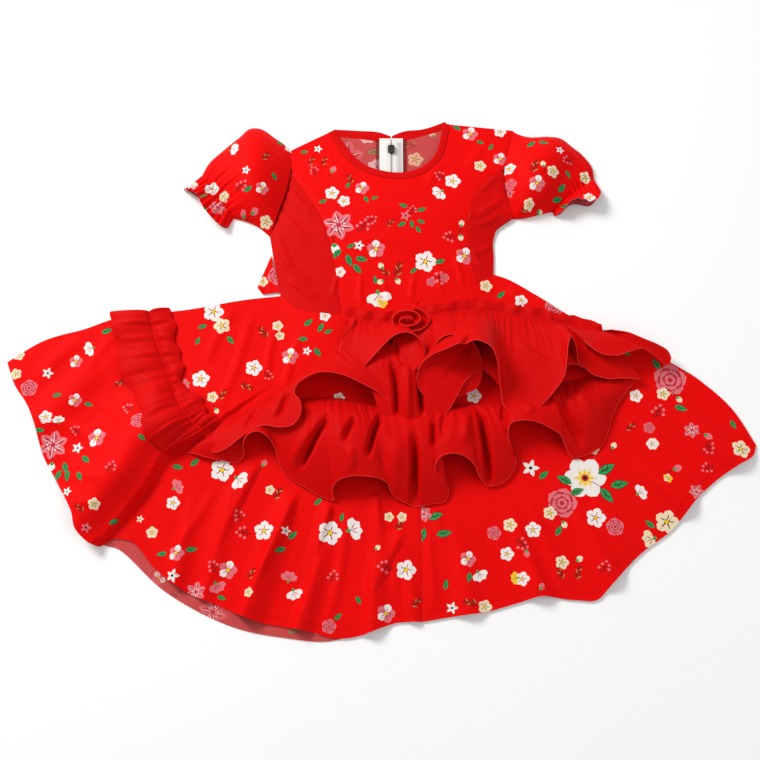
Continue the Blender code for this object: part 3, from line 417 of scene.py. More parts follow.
def printed(name, grid, shapes, wall=CREPE, wrong_up=False, floor=0.0):
    """A printed panel: its grid of points is cut along the outlines of the print, ink by ink."""
    flat, outward = grid[..., :2].reshape(-1, 2), facing(grid).reshape(-1, 3)
    rows, columns = grid.shape[:2]
    at = np.arange(rows * columns).reshape(rows, columns)
    ring = np.concatenate((at[0], at[1:, -1], at[-1, -2::-1], at[-2:0:-1, 0]))

    def counter_clockwise(order, where):
        x, y = where[:, 0], where[:, 1]
        area = (x * np.roll(y, -1) - np.roll(x, -1) * y).sum()
        return [int(i) for i in (order if area > 0 else order[::-1])]

    points = [Vector(p) for p in flat]
    outlines = [counter_clockwise(ring, flat[ring])]
    inks = [0]
    low, high = flat.min(axis=0), flat.max(axis=0)
    for ink, outline in shapes:
        if (outline.max(axis=0) < low).any() or (outline.min(axis=0) > high).any():
            continue
        outlines.append(counter_clockwise(np.arange(len(points), len(points) + len(outline)), outline))
        points += [Vector(p) for p in outline]
        inks.append(INK_NAMES.index(ink))
    found, _, faces, came_from, _, inside = geometry.delaunay_2d_cdt(points, [], outlines, 0, 1e-4, True)
    kept = [i for i in range(len(faces)) if 0 in inside[i]]
    skins = [inks[max(inside[i])] for i in kept]
    triangles = np.concatenate((np.stack((at[:-1, :-1], at[:-1, 1:], at[1:, 1:]), -1).reshape(-1, 3),
                                np.stack((at[:-1, :-1], at[1:, 1:], at[1:, :-1]), -1).reshape(-1, 3)))
    tree = BVHTree.FromPolygons([Vector((x, y, 0)) for x, y in flat], triangles.tolist())
    heights = grid[..., 2].reshape(-1)
    placed, turned = np.zeros((len(found), 3)), np.zeros((len(found), 3))
    for i, (point, sources) in enumerate(zip(found, came_from)):
        own = [s for s in sources if s < len(flat)]
        if own:
            placed[i] = (flat[own[0], 0], flat[own[0], 1], heights[own[0]])
            turned[i] = outward[own[0]]
            continue
        hit = tree.find_nearest(Vector((point.x, point.y, 0)))
        corners = triangles[hit[2]]
        (x0, y0), (x1, y1), (x2, y2) = flat[corners]
        whole = (x1 - x0) * (y2 - y0) - (x2 - x0) * (y1 - y0)
        if abs(whole) < 1e-9:
            share = np.array((1.0, 0, 0))
        else:
            b = ((point.x - x0) * (y2 - y0) - (x2 - x0) * (point.y - y0)) / whole
            c = ((x1 - x0) * (point.y - y0) - (point.x - x0) * (y1 - y0)) / whole
            share = np.clip((1 - b - c, b, c), 0, 1)
            share /= share.sum()
        placed[i] = (point.x, point.y, share @ heights[corners])
        turned[i] = share @ outward[corners]
    used = sorted({v for i in kept for v in faces[i]})
    new = {old: index for index, old in enumerate(used)}
    cut = [tuple(new[v] for v in faces[i]) for i in kept]
    turned = turned[used] / (np.linalg.norm(turned[used], axis=1)[:, None] + 1e-12)
    turned[turned[:, 2] < 0] *= -1
    half = len(INK_NAMES)
    upper = [s + half for s in skins] if wrong_up else skins
    lower = skins if wrong_up else [s + half for s in skins]
    return shell(name, placed[used], turned, cut, upper, right_side + wrong_side, wall, lower, floor)


LEAST_SHARE = 0.31          # least area, as a share of width times length


def flat_size(piece, width, length):
    """Area of a sewn piece's own surface, held between LEAST_SHARE of its cut and the whole cut, width by length in
    millimetres; it is worked out but not returned or used. The area stated is the piece's own surface, so the
    table's area_share says nothing about the cut.
    """
    area = sum(p.area for p in piece.data.polygons) / 2
    width, length = width / 1000, length / 1000
    area = min(max(area, LEAST_SHARE * width * length), width * length)


def waist_y(x):
    line = curve(WAIST, np.linspace(0, 1, 200))
    return np.interp(x, line[:, 0], line[:, 1])


across, down = np.linspace(0, 1, 130), np.linspace(0, 1, 60)
waist = curve(WAIST, across)
waist[:, 0] = WAIST_MIDDLE + (waist[:, 0] - WAIST_MIDDLE) * BACK_WAIST_DRAW
waist[:, 1] = waist_y(waist[:, 0]) - 0.6
left, right = curve(SKIRT_LEFT_EDGE, down), curve(SKIRT_RIGHT_EDGE, down)
hem = curve(BACK_HEM, across)
left[:, 1] -= 1.0
right[:, 1] -= 1.0
left[0], left[-1], right[0], right[-1] = waist[0], hem[0], waist[-1], hem[-1]
plan = filled(waist, hem, left, right, across, down)
grid = np.dstack((plan, np.full(plan.shape[:2], BACK_LEVEL)))
skirt_back = printed("skirt_back", grid, strewn((-380, -280), (370, 95), 30), wrong_up=True)
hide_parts("skirt_back")
flat_size(skirt_back, 745, 375)


# The front of the circle skirt: two printed panels joined by a plain seam that runs down from the waist
# under the ruffles. The cloth stands in soft flutes towards the hem, and a large fold at the lower left
# falls over itself with a deep shadow behind it. The hem is turned once and machine stitched.
FRONT_HEM_LEFT = (
    (0.00, -375, -5), (0.03, -366, -27), (0.07, -352, -47), (0.11, -341, -68), (0.16, -331, -98),
    (0.22, -315, -125), (0.28, -294, -157), (0.33, -285, -179), (0.36, -270, -190),
    (0.395, -254, -182), (0.395, -254, -182), (0.43, -236, -186), (0.48, -216, -208),
    (0.55, -184, -232), (0.62, -150, -246), (0.70, -115, -260), (0.78, -71, -268),
    (0.85, -40, -275), (0.92, -11, -270), (0.96, 14, -261), (1.00, 39, -260))
FRONT_HEM_RIGHT = (
    (0.00, 39, -260), (0.08, 62, -256), (0.18, 98, -251), (0.26, 127, -243), (0.33, 150, -237),
    (0.42, 182, -240), (0.48, 204, -239), (0.52, 216, -226), (0.60, 246, -197),
    (0.70, 281, -171), (0.76, 298, -150), (0.84, 326, -125), (0.90, 344, -113),
    (0.96, 363, -101), (1.00, 367, -91))
SKIRT_SEAM = 38.5
SEAM_PLACE = 0.64           # of the way along the waist
SEAM_GAP = 0.1
SEAM_PRESS = 0.9            # how far the cloth rolls down into the seam, over SEAM_ROLL
SEAM_ROLL = 3.0
HEM_TURN = 8.0
FRONT_LEVEL = 2.3
# columns: y, height in the middle of the bodice, height at its side edges
BODICE_HEIGHT = (
    (45, 8.0, 2.3), (92, 10.0, 2.3), (136, 12.0, 2.6), (165, 12.0, 5.0), (200, 9.5, 6.0),
    (235, 5.0, 4.6), (262, 2.6, 2.6), (275, 2.4, 2.4))
# columns: y, left edge x, right edge x
BODICE_WIDTH = (
    (45, -103, 116), (67, -103, 116), (92, -108, 117), (112, -112, 117), (130, -115, 118),
    (140, -115, 122), (156, -108, 139), (175, -102, 134), (190, -98, 131), (210, -96, 131),
    (235, -96, 137), (262, -96, 143))
# columns: x and y at the top, x and y at the hem, width left, width right, height
FLUTES = (
    (-83, -130, -130, -256, 28, 8, 12), (-44, -148, -78, -266, 20, 8, 9),
    (-3, -134, -10, -272, 22, 10, 7), (66, -150, 84, -258, 20, 18, 6),
    (118, -140, 152, -246, 18, 16, 8), (170, -120, 222, -230, 22, 14, 7),
    (230, -90, 300, -160, 22, 16, 7), (255, -30, 352, -112, 24, 20, 7),
    (-180, -128, -198, -236, 20, 9, 8), (-250, 20, -330, -60, 26, 26, 4),
    (-130, -120, -170, -244, 16, 8, 5), (20, -160, 30, -250, 10, 8, 4))
# columns: place along the fold, x, y, height
BIG_FOLD = (
    (0.0, -170, -74, 3), (0.2, -188, -87, 13), (0.35, -206, -97, 19), (0.5, -216, -110, 22), (0.65, -224, -128, 23),
    (0.85, -240, -150, 22), (1.0, -263, -181, 16))
BIG_FOLD_WIDTH = 58.0
BIG_FOLD_ROLL = 27.0
BIG_FOLD_DROP = 3.5
# smaller creases; columns: x and y at one end, x and y at the other, half width, height, trough if less than 0
SKIRT_CREASES = (
    (-300, 25, -352, -30, 12, 1.2), (-262, 35, -300, -20, 9, 0.9), (-330, -60, -255, -95, 10, 1.0),
    (-318, -118, -262, -128, 9, 1.4), (-300, -150, -262, -150, 7, 1.2), (-150, 58, -178, -10, 9, 0.9),
    (-128, 55, -160, -60, 8, 1.1), (-105, 40, -118, -30, 7, 1.2), (-80, 30, -100, -40, 7, 1.0),
    (-140, -120, -168, -226, 9, 1.6), (-158, -130, -205, -215, 7, 1.3), (-112, -140, -140, -240, 8, -1.2),
    (-60, -160, -96, -262, 7, -1.3), (-28, -150, -50, -270, 8, 1.8), (18, -160, 12, -256, 7, 1.4),
    (46, -170, 50, -252, 6, 1.6), (100, -160, 116, -244, 9, -1.0), (140, -140, 178, -236, 8, 1.4),
    (196, -120, 236, -200, 8, 1.3), (214, -100, 262, -180, 7, -1.0), (250, -60, 318, -140, 9, 1.5),
    (270, -20, 340, -90, 8, 1.1), (200, 30, 300, -20, 10, 0.9), (150, 70, 200, 20, 8, 1.0),
    (130, 78, 150, 45, 6, 1.2), (-220, -120, -236, -170, 6, -1.2), (-280, -40, -240, -80, 9, 1.0))
# sharp creases; columns: x and y at the top, x and y at the foot, width of the long side, height
SKIRT_PLEATS = (
    (-115, -106, -167, -211, 20, 3.5), (-81, -136, -122, -246, 22, 6.0), (-45, -146, -72, -220, 14, 5.0),
    (-2, -136, 1, -199, 14, 3.5), (20, -175, -14, -251, 20, 3.5), (53, -153, 67, -203, 10, 2.0))
# kind, pixel across, pixel down, size, turn, ink
SKIRT_LEFT_PRINT = (
    ("blossom", 19, 355, 6, 10, "cream"), ("blossom", 16, 374, 6, 40, "cream"), ("star", 48, 373.5, 6, 0, "white"),
    ("rose", 29, 388, 9, 20, "pink"), ("shell", 89.5, 349, 8, 200, "white"), ("blossom", 76, 361.5, 7, 15, "pink"),
    ("leaf", 101, 333, 12, 20, "green"), ("blossom", 75, 400, 7, 0, "pink"), ("leaf", 52, 396, 10, 10, "green"),
    ("leaf", 84, 403, 9, -15, "green"), ("blossom", 45.6, 417, 7, 30, "white"), ("shell", 58.6, 420, 6, 100, "white"),
    ("leaf", 34, 430, 10, 0, "green"), ("lily", 53, 445, 15, 80, "pink"), ("bud", 52, 462, 7, -90, "white"),
    ("star", 77.5, 448, 6, 0, "white"), ("blossom", 97, 438, 10, 20, "pink"), ("twig", 82, 434, 8, 150, "pink"),
    ("leaf", 64, 462, 12, -70, "green"), ("leaf", 82, 456, 12, -40, "green"), ("leaf", 62, 470, 12, -120, "green"),
    ("leaf", 68, 470, 12, -85, "green"), ("leaf", 78, 472, 11, -60, "green"), ("star", 67, 491.5, 5, 0, "white"),
    ("blossom", 94, 504, 6, 10, "cream"), ("fern", 84, 512, 8, 140, "green"), ("star", 86, 527.6, 5, 0, "pink"),
    ("twig", 106, 474, 9, 60, "pink"), ("rose", 138, 420, 8, 0, "white"), ("twig", 134, 411, 9, 150, "pink"),
    ("leaf", 138, 434, 9, -40, "green"), ("leaf", 109, 524, 9, 30, "green"), ("star", 140, 519, 4, 0, "cream"),
    ("blossom", 152, 532.5, 6, 20, "cream"), ("blossom", 213.5, 312, 11, 0, "white"),
    ("blossom", 222, 326, 9, 40, "cream"), ("leaf", 227, 336, 11, -50, "green"), ("leaf", 207, 325, 10, 200, "green"),
    ("blossom", 200.6, 379, 9.5, 10, "white"), ("shell", 186, 384, 6, 200, "pink"),
    ("fern", 268, 338, 11, 130, "green"),
    ("blossom", 277.6, 326, 6, 0, "cream"), ("blossom", 280, 336, 5, 30, "cream"), ("leaf", 304, 326, 11, 40, "green"),
    ("leaf", 318, 332, 11, 60, "green"), ("leaf", 308, 339, 10, 180, "green"), ("leaf", 314, 348, 11, -50, "green"),
    ("leaf", 324, 333, 9, 20, "green"), ("blossom", 325, 316, 6, 0, "white"), ("blossom", 290, 356.5, 9, 10, "pink"),
    ("star", 307, 351, 5, 0, "white"), ("blossom", 253.7, 368, 9, 0, "white"), ("twig", 262, 372, 8, -30, "pink"),
    ("fern", 240, 384, 10, -20, "green"), ("fern", 219, 400, 9, 60, "green"), ("blossom", 212.5, 397, 6, 0, "cream"),
    ("bud", 215, 408, 5, -60, "cream"), ("blossom", 222, 470, 12, 0, "white"), ("shell", 240, 481, 10, -40, "white"),
    ("leaf", 190, 466, 11, 40, "green"), ("leaf", 172, 466, 11, -10, "green"), ("bud", 262, 466.5, 6, 60, "pink"),
    ("fern", 274, 500, 10, 60, "green"), ("blossom", 270, 490, 5, 0, "cream"), ("blossom", 339, 398, 6, 0, "white"),
    ("star", 353, 414, 6, 0, "pink"), ("shell", 177.5, 486.6, 8, 30, "pink"), ("blossom", 173, 503, 7, 0, "white"),
    ("blossom", 264, 531, 10, 15, "white"), ("twig", 252, 534, 10, 170, "pink"), ("twig", 242, 524, 9, 110, "pink"),
    ("blossom", 176, 553, 8, 0, "pink"), ("leaf", 185, 550, 11, 10, "green"), ("leaf", 167, 553, 10, 190, "green"),
    ("star", 172, 575.5, 7, 0, "white"), ("blossom", 228, 570, 9, 0, "pink"), ("shell", 217.6, 587, 8, -60, "pink"),
    ("twig", 217, 574, 9, 120, "pink"), ("lily", 196, 592, 10, 20, "pink"), ("leaf", 217, 596, 9, -20, "green"),
    ("fern", 248, 580, 9, 60, "green"), ("blossom", 248, 592, 5, 0, "cream"), ("leaf", 288, 539, 11, 40, "green"),
    ("leaf", 286, 548, 11, 200, "green"), ("star", 286, 531, 5, 0, "white"), ("shell", 289, 577, 8, 80, "pink"),
    ("shell", 294.5, 594, 8, -70, "white"), ("blossom", 330, 533, 12, 0, "white"), ("shell", 354, 529, 11, 20, "white"),
    ("leaf", 341, 522, 9, 80, "green"), ("rose", 329, 626.5, 7, 0, "pink"), ("leaf", 334, 620, 9, 40, "green"),
    ("fern", 396, 531, 10, 60, "green"), ("blossom", 389, 517, 5, 0, "cream"), ("blossom", 402, 517, 5, 30, "cream"),
    ("blossom", 406, 570, 10, 0, "white"), ("twig", 394, 569, 10, 170, "pink"), ("blossom", 386, 613.5, 9, 0, "pink"),
    ("fern", 411, 607, 9, 40, "green"), ("leaf", 314, 505, 10, 40, "green"), ("twig", 330, 585, 9, 70, "pink"),
    ("leaf", 356, 596, 9, -60, "green"), ("bud", 375, 550, 5, 40, "cream"), ("fern", 128, 380, 10, 200, "green"),
    ("leaf", 196, 345, 9, 70, "green"), ("star", 240, 430, 6, 0, "white"), ("leaf", 292, 470, 10, 60, "green"))
SKIRT_RIGHT_PRINT = (
    ("leaf", 428, 519, 15, 20, "green"), ("leaf", 436, 535, 15, 10, "green"), ("leaf", 425, 528, 15, -110, "green"),
    ("lily", 424, 514, 8, 100, "pink"), ("grand", 585, 478, 21, 0, "white"), ("leaf", 598, 474, 19, 30, "green"),
    ("leaf", 610, 486, 18, 10, "green"), ("leaf", 600, 488, 18, -50, "green"), ("leaf", 572, 484, 16, 150, "green"),
    ("rose", 562, 503, 15, 0, "pink"), ("star", 530.6, 468, 9, 0, "white"), ("leaf", 539, 479, 12, 40, "green"),
    ("leaf", 570, 494, 14, 20, "green"), ("blossom", 593.5, 449, 6, 0, "cream"), ("bud", 612, 449, 6, 60, "cream"),
    ("blossom", 595.6, 518, 10, 0, "white"), ("rose", 615, 527, 9, 20, "pink"), ("blossom", 550, 513, 7, 0, "cream"),
    ("bud", 562, 521, 6, -60, "cream"), ("leaf", 556, 536, 11, 60, "green"), ("blossom", 510, 525, 7, 0, "cream"),
    ("blossom", 533, 530, 8, 20, "white"), ("blossom", 507, 554, 7, 0, "white"), ("rose", 494, 533, 7, 0, "pink"),
    ("bud", 526, 549.5, 6, -80, "pink"), ("twig", 514, 538, 10, -40, "pink"), ("shell", 641, 492, 8, 30, "white"),
    ("bud", 673, 470, 7, 20, "pink"), ("blossom", 668, 478, 5, 0, "yellow"), ("blossom", 653, 444, 6, 0, "cream"),
    ("blossom", 667, 522, 12, 0, "cream"), ("shell", 650, 540, 10, 200, "cream"), ("leaf", 655, 528, 11, 140, "green"),
    ("lily", 696.5, 492, 8, 0, "pink"), ("blossom", 741, 449, 10, 0, "cream"), ("blossom", 562, 562.5, 7, 0, "cream"),
    ("bud", 576, 561, 6, 30, "cream"), ("fern", 576, 580, 10, 70, "green"), ("fern", 563, 580, 9, 110, "green"),
    ("blossom", 468, 559, 8, 0, "pink"), ("shell", 480, 575.5, 8, -60, "white"), ("leaf", 470, 572, 10, -100, "green"),
    ("blossom", 522, 579, 7, 0, "white"), ("shell", 515, 578, 6, 180, "yellow"), ("blossom", 485, 607, 7, 0, "cream"),
    ("fern", 478, 604, 10, 170, "green"), ("rose", 670, 380, 17, 10, "pink"), ("blossom", 663, 394, 7, 0, "cream"),
    ("bud", 676, 397, 6, -50, "cream"), ("leaf", 660, 370, 13, 120, "green"), ("leaf", 674, 406, 13, -20, "green"),
    ("leaf", 684, 372, 12, 20, "green"), ("blossom", 636, 396, 7, 0, "white"), ("twig", 654, 420, 11, 60, "pink"),
    ("rose", 649, 428, 6, 0, "pink"), ("blossom", 652, 444, 6, 30, "white"), ("lily", 692, 430, 8, 30, "pink"),
    ("bud", 704, 434, 7, -30, "pink"), ("twig", 706, 440, 9, -70, "pink"), ("rose", 553.5, 308.6, 10, 0, "pink"),
    ("blossom", 521, 301, 7, 0, "white"), ("leaf", 497, 298, 11, 40, "green"), ("blossom", 486, 286, 7, 0, "cream"),
    ("fern", 536, 318, 9, -20, "green"), ("blossom", 590, 332, 7, 0, "white"), ("leaf", 620, 350, 11, -30, "green"),
    ("twig", 715, 465, 9, 200, "pink"), ("leaf", 632, 560, 11, -60, "green"), ("twig", 600, 575, 9, 60, "pink"),
    ("bud", 540, 590, 6, 60, "pink"), ("leaf", 445, 590, 10, 80, "green"), ("star", 452, 608, 6, 0, "white"),
    ("fern", 625, 430, 9, 30, "green"), ("leaf", 730, 420, 10, -60, "green"), ("blossom", 474, 396, 8, 0, "white"))


def ease(value):
    value = np.clip(value, 0, 1)
    return value * value * (3 - 2 * value)


def bodice_rise(x, y):
    """Upper side of the bodice front above the table, before its creases."""
    middle, side = np.moveaxis(curve(BODICE_HEIGHT, y), -1, 0)
    left_side, right_side_x = np.moveaxis(curve(BODICE_WIDTH, y), -1, 0)
    place = np.clip((x - left_side) / (right_side_x - left_side), 0, 1)
    return side + (middle - side) * (1 - np.abs(2 * place - 1) ** 3)


def fold_rise(x, y):
    """The large fold at the lower left: steep on its inner edge, easing out to the side."""
    edge = curve(BIG_FOLD, np.linspace(0, 1, 25))
    best = np.full(np.shape(x), 1e9)
    rise = np.zeros(np.shape(x))
    for start, end in zip(edge[:-1], edge[1:]):
        step = end[:2] - start[:2]
        along = np.clip(((x - start[0]) * step[0] + (y - start[1]) * step[1]) / (step @ step), 0, 1)
        dx, dy = x - start[0] - along * step[0], y - start[1] - along * step[1]
        away = np.hypot(dx, dy)
        outward = step[0] * dy - step[1] * dx < 0
        fall = np.clip(np.where(outward, (away - BIG_FOLD_ROLL) / BIG_FOLD_WIDTH, away / BIG_FOLD_DROP), 0, 1)
        rolled = np.where(outward, 0.42 + 0.58 * ease(away / BIG_FOLD_ROLL), 0.42)
        height = (start[2] + (end[2] - start[2]) * along) * rolled * np.cos(fall * math.pi / 2) ** 2
        rise = np.where(away < best, height, rise)
        best = np.minimum(away, best)
    return rise


def skirt_rise(x, y):
    """Upper side of the front skirt above the table, before its creases."""
    x, y = np.asarray(x, float), np.asarray(y, float)
    inside = np.clip(x, WAIST[0][1], WAIST[-1][1])
    top = waist_y(inside)
    distance = np.hypot(x - inside, np.maximum(top - y, 0))
    height = FRONT_LEVEL + (bodice_rise(inside, top) - FRONT_LEVEL) * ease(1 - distance / 85)
    for x0, y0, x1, y1, wide_left, wide_right, rise in FLUTES:
        length = math.hypot(x1 - x0, y1 - y0)
        along = ((x - x0) * (x1 - x0) + (y - y0) * (y1 - y0)) / length
        off = ((x - x0) * (y1 - y0) - (y - y0) * (x1 - x0)) / length
        width = np.where(off > 0, wide_right, wide_left) * (0.6 + 0.4 * np.clip(along / length, 0, 1))
        ridge = np.cos(np.clip(np.abs(off) / width, 0, 1) * math.pi / 2) ** 2
        height = height + rise * ridge * ease(along / length * 1.1)
    return height + fold_rise(x, y)


def creased(x, y, creases):
    """Soft ridges and troughs that fade out at both ends."""
    total = np.zeros(np.shape(x))
    for x0, y0, x1, y1, width, rise in creases:
        length = math.hypot(x1 - x0, y1 - y0)
        along = ((x - x0) * (x1 - x0) + (y - y0) * (y1 - y0)) / length**2
        off = ((x - x0) * (y1 - y0) - (y - y0) * (x1 - x0)) / length
        off = off + 0.12 * width * np.sin(along * 7.0 + x0)
        fade = ease(1 - np.abs(2 * along - 1) ** 2)
        total = total + rise * fade * np.cos(np.clip(np.abs(off) / width, 0, 1) * math.pi / 2) ** 2
    return total


def pleated(x, y):
    """Sharp creases below the ruffles: a long rise from the left that ends in a step down."""
    total = np.zeros(np.shape(x))
    for x0, y0, x1, y1, width, rise in SKIRT_PLEATS:
        length = math.hypot(x1 - x0, y1 - y0)
        along = ((x - x0) * (x1 - x0) + (y - y0) * (y1 - y0)) / length**2
        off = ((x - x0) * (y1 - y0) - (y - y0) * (x1 - x0)) / length + 1.2 * np.sin(along * 4.0 + x0)
        side = np.clip(np.where(off > 0, off / width, -off / 3.0), 0, 1)
        total = total + rise * ease(along / 0.15) * ease((1 - along) / 0.6) * np.cos(side * math.pi / 2) ** 2
    return total


def skirt_face(x, y):
    x, y = np.asarray(x, float), np.asarray(y, float)
    level = skirt_rise(x, y) + 1.5 * creased(x, y, SKIRT_CREASES) + pleated(x, y)
    rolled = SEAM_PRESS * np.clip(1 - np.abs(x - SKIRT_SEAM) / SEAM_ROLL, 0, 1)
    return np.maximum(level, FRONT_LEVEL - 0.4) - rolled


down = np.linspace(0, 1, 155)
across = np.linspace(0, 1, 180)
waist = curve(WAIST, across * SEAM_PLACE)
waist[:, 1] = waist_y(waist[:, 0]) - 0.15
left = curve(SKIRT_LEFT_EDGE, down)
hem = curve(FRONT_HEM_LEFT, across)
waist[-1, 0] = hem[-1, 0] = SKIRT_SEAM - SEAM_GAP
right = np.column_stack((np.full(len(down), SKIRT_SEAM - SEAM_GAP),
                         np.interp(down, (0, 1), (waist[-1, 1], hem[-1, 1]))))
left[0], left[-1] = waist[0], hem[0]
plan = filled(waist, hem, left, right, across, down)
grid = np.dstack((plan, skirt_face(plan[..., 0], plan[..., 1])))
skirt_front_left = printed("skirt_front_left", grid, print_from(SKIRT_LEFT_PRINT, skirt_rise), floor=1.05)
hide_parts("skirt_front_left")
flat_size(skirt_front_left, 420, 345)

across = np.linspace(0, 1, 104)
waist = curve(WAIST, SEAM_PLACE + across * (1 - SEAM_PLACE))
waist[:, 1] = waist_y(waist[:, 0]) - 0.15
hem = curve(FRONT_HEM_RIGHT, across)
waist[0, 0] = hem[0, 0] = SKIRT_SEAM + SEAM_GAP
left = np.column_stack((np.full(len(down), SKIRT_SEAM + SEAM_GAP),
                        np.interp(down, (0, 1), (waist[0, 1], hem[0, 1]))))
right = curve(SKIRT_RIGHT_EDGE, down)
right[0], right[-1] = waist[-1], hem[-1]
plan = filled(waist, hem, left, right, across, down)
grid = np.dstack((plan, skirt_face(plan[..., 0], plan[..., 1])))
skirt_front_right = printed("skirt_front_right", grid, print_from(SKIRT_RIGHT_PRINT, skirt_rise), floor=1.05)
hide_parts("skirt_front_right")
flat_size(skirt_front_right, 335, 335)


def tube(path, radius, sides=6):
    """Points and faces of a round thread along a path, its ends closed."""
    path = np.asarray(path, float)
    along = np.gradient(path, axis=0)
    along /= np.linalg.norm(along, axis=1)[:, None] + 1e-12
    level = np.cross(along, (0, 0, 1.0))
    weak = np.linalg.norm(level, axis=1) < 0.15
    level[weak] = np.cross(along[weak], (0, 1.0, 0.2))
    level /= np.linalg.norm(level, axis=1)[:, None] + 1e-12
    raised = np.cross(level, along)
    turn = np.linspace(0, 2 * math.pi, sides, endpoint=False)
    size = np.broadcast_to(np.asarray(radius, float), (len(path),))[:, None, None]
    ring = (level[:, None] * np.cos(turn)[None, :, None] + raised[:, None] * np.sin(turn)[None, :, None]) * size
    points = (path[:, None] + ring).reshape(-1, 3)
    faces = []
    count = len(path)
    for i in range(count - 1):
        for j in range(sides):
            a, b = i * sides + j, i * sides + (j + 1) % sides
            faces.append((a, b, b + sides, a + sides))
    faces += [tuple(range(sides))[::-1], tuple(range((count - 1) * sides, count * sides))]
    return points, faces


def threads(name, runs, finish):
    """One piece from several thread tubes, given as (points, faces)."""
    points, faces, base = [], [], 0
    for run_points, run_faces in runs:
        points.append(run_points)
        faces += [tuple(i + base for i in face) for face in run_faces]
        base += len(run_points)
    mesh = bpy.data.meshes.new(name)
    mesh.from_pydata(to_frame(np.concatenate(points)).tolist(), [], faces)
    mesh.materials.append(finish)
    mesh.polygons.foreach_set("use_smooth", np.ones(len(mesh.polygons), bool))
    made = bpy.data.objects.new(name + "_sewn", mesh)
    scene.collection.objects.link(made)
    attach(made, "dress")
    return made


def sideways(line):
    along = np.gradient(line, axis=0)
    found = np.column_stack((-along[:, 1], along[:, 0]))
    return found / np.linalg.norm(found, axis=1)[:, None]


def stitches(name, path, pitch, length, radius, finish):
    """A row of machine stitches lying on a path, each a short thread that dips in at both ends."""
    path = np.asarray(path, float)
    run = np.concatenate(((0,), np.cumsum(np.linalg.norm(np.diff(path, axis=0), axis=1))))
    made = []
    for start in np.arange(pitch / 2, run[-1] - length, pitch):
        at = start + length * np.array((0, 0.2, 0.5, 0.8, 1.0))
        points = np.column_stack([np.interp(at, run, path[:, i]) for i in range(3)])
        points[:, 2] += radius * np.array((-0.8, 0.3, 0.6, 0.3, -0.8))
        made.append(tube(points, radius * np.array((0.4, 1, 1, 1, 0.4)), 4))
    return threads(name, made, finish)


thread_red = fabric("sewing_thread_red", (0.50, 0.004, 0.004), roughness=0.5, sheen=0.1, thread=0.0002, relief=0.3)
hem_rows = []
for edge, places in ((FRONT_HEM_LEFT, np.linspace(0, 0.395, 130)), (FRONT_HEM_LEFT, np.linspace(0.3951, 1, 190)),
                     (FRONT_HEM_RIGHT, np.linspace(0, 1, 240))):
    line = curve(edge, places)
    inward = sideways(line)
    inward *= np.sign(inward[len(line) // 2] @ ((0, 60) - line[len(line) // 2]))
    line = line[4:-4] + inward[4:-4] * HEM_TURN
    hem_rows.append(np.column_stack((line, skirt_face(line[:, 0], line[:, 1]) + 0.08)))
for place, row in zip(("left_side", "left", "right"), hem_rows):
    stitches("hem_stitches_" + place, row, 3.0, 2.2, 0.17, thread_red)


# The back of the bodice: two printed pieces, wrong side up inside the dress, that meet at the concealed
# zip. Above the zip they stand a little over its pull tab, which hangs outside, between them and the table.
ZIP_X = 11.0
ZIP_LIPS = 1.7
SIDE_LEFT = (
    (0.00, -96, 234), (0.16, -96, 206), (0.30, -99, 186), (0.46, -106, 163), (0.60, -113, 142),
    (0.64, -116, 134), (0.64, -116, 134), (0.72, -114, 123), (0.86, -109.5, 98), (1.00, -103, 67))
SIDE_RIGHT = (
    (0.00, 143, 259), (0.10, 137, 236), (0.24, 131, 209), (0.34, 131, 189), (0.42, 134, 174),
    (0.52, 138, 154), (0.52, 138, 154), (0.60, 122, 142), (0.68, 117.5, 130), (0.84, 117, 110),
    (1.00, 116, 91))
TOP_BACK_LEFT = ((0.00, -95, 233), (0.45, -52, 253), (0.45, -52, 253), (0.75, -24, 250), (1.00, 10, 245))
TOP_BACK_RIGHT = ((0.00, 12, 245), (0.30, 40, 252), (0.52, 72, 262), (0.52, 72, 262), (1.00, 142, 257))


def zip_bump(x, y):
    """Rise of the back opening over the pull tab under it."""
    rise = np.clip(1.6 - np.abs(x - ZIP_X) / 8.0, 0, 1)
    along = np.clip((y - 198) / 10.0, 0, 1) * np.clip((247 - y) / 3.5, 0, 1)
    return 3.2 * ease(rise) * ease(along)


def back_face(x, y):
    return 0.95 + zip_bump(x, y)


down = np.linspace(0, 1, 80)
near = np.linspace(0, 1, 50) ** 0.9
for side, edge, neck, inner in (("left", SIDE_LEFT, TOP_BACK_LEFT, ZIP_X - ZIP_LIPS / 2),
                                ("right", SIDE_RIGHT, TOP_BACK_RIGHT, ZIP_X + ZIP_LIPS / 2)):
    outer = curve(edge, down)
    outer[:, 0] += 0.5 if side == "left" else -0.5
    across = near if side == "left" else 1 - near[::-1]
    top = curve(neck, across)
    ends = (0, -1) if side == "left" else (-1, 0)
    top[ends[0]] = outer[0]
    top[ends[1], 0] = inner
    bottom_x = (outer[-1, 0], inner) if side == "left" else (inner, outer[-1, 0])
    bottom = np.column_stack((np.interp(across, (0, 1), bottom_x), np.zeros(len(across))))
    bottom[:, 1] = waist_y(bottom[:, 0]) - 0.4
    opening = np.column_stack((np.full(len(down), inner),
                               np.interp(down, (0, 1), (top[ends[1], 1], bottom[ends[1], 1]))))
    outer[-1] = bottom[ends[0]]
    sides = (outer, opening) if side == "left" else (opening, outer)
    plan = filled(top, bottom, sides[0], sides[1], across, down)
    grid = np.dstack((plan, back_face(plan[..., 0], plan[..., 1])))
    seen = strewn((-118, 40), (146, 266), 23, 3, 1.5)
    piece = printed("bodice_back_" + side, grid, seen, wrong_up=True)
    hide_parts("bodice_back_" + side)
    flat_size(piece, 130, 215)


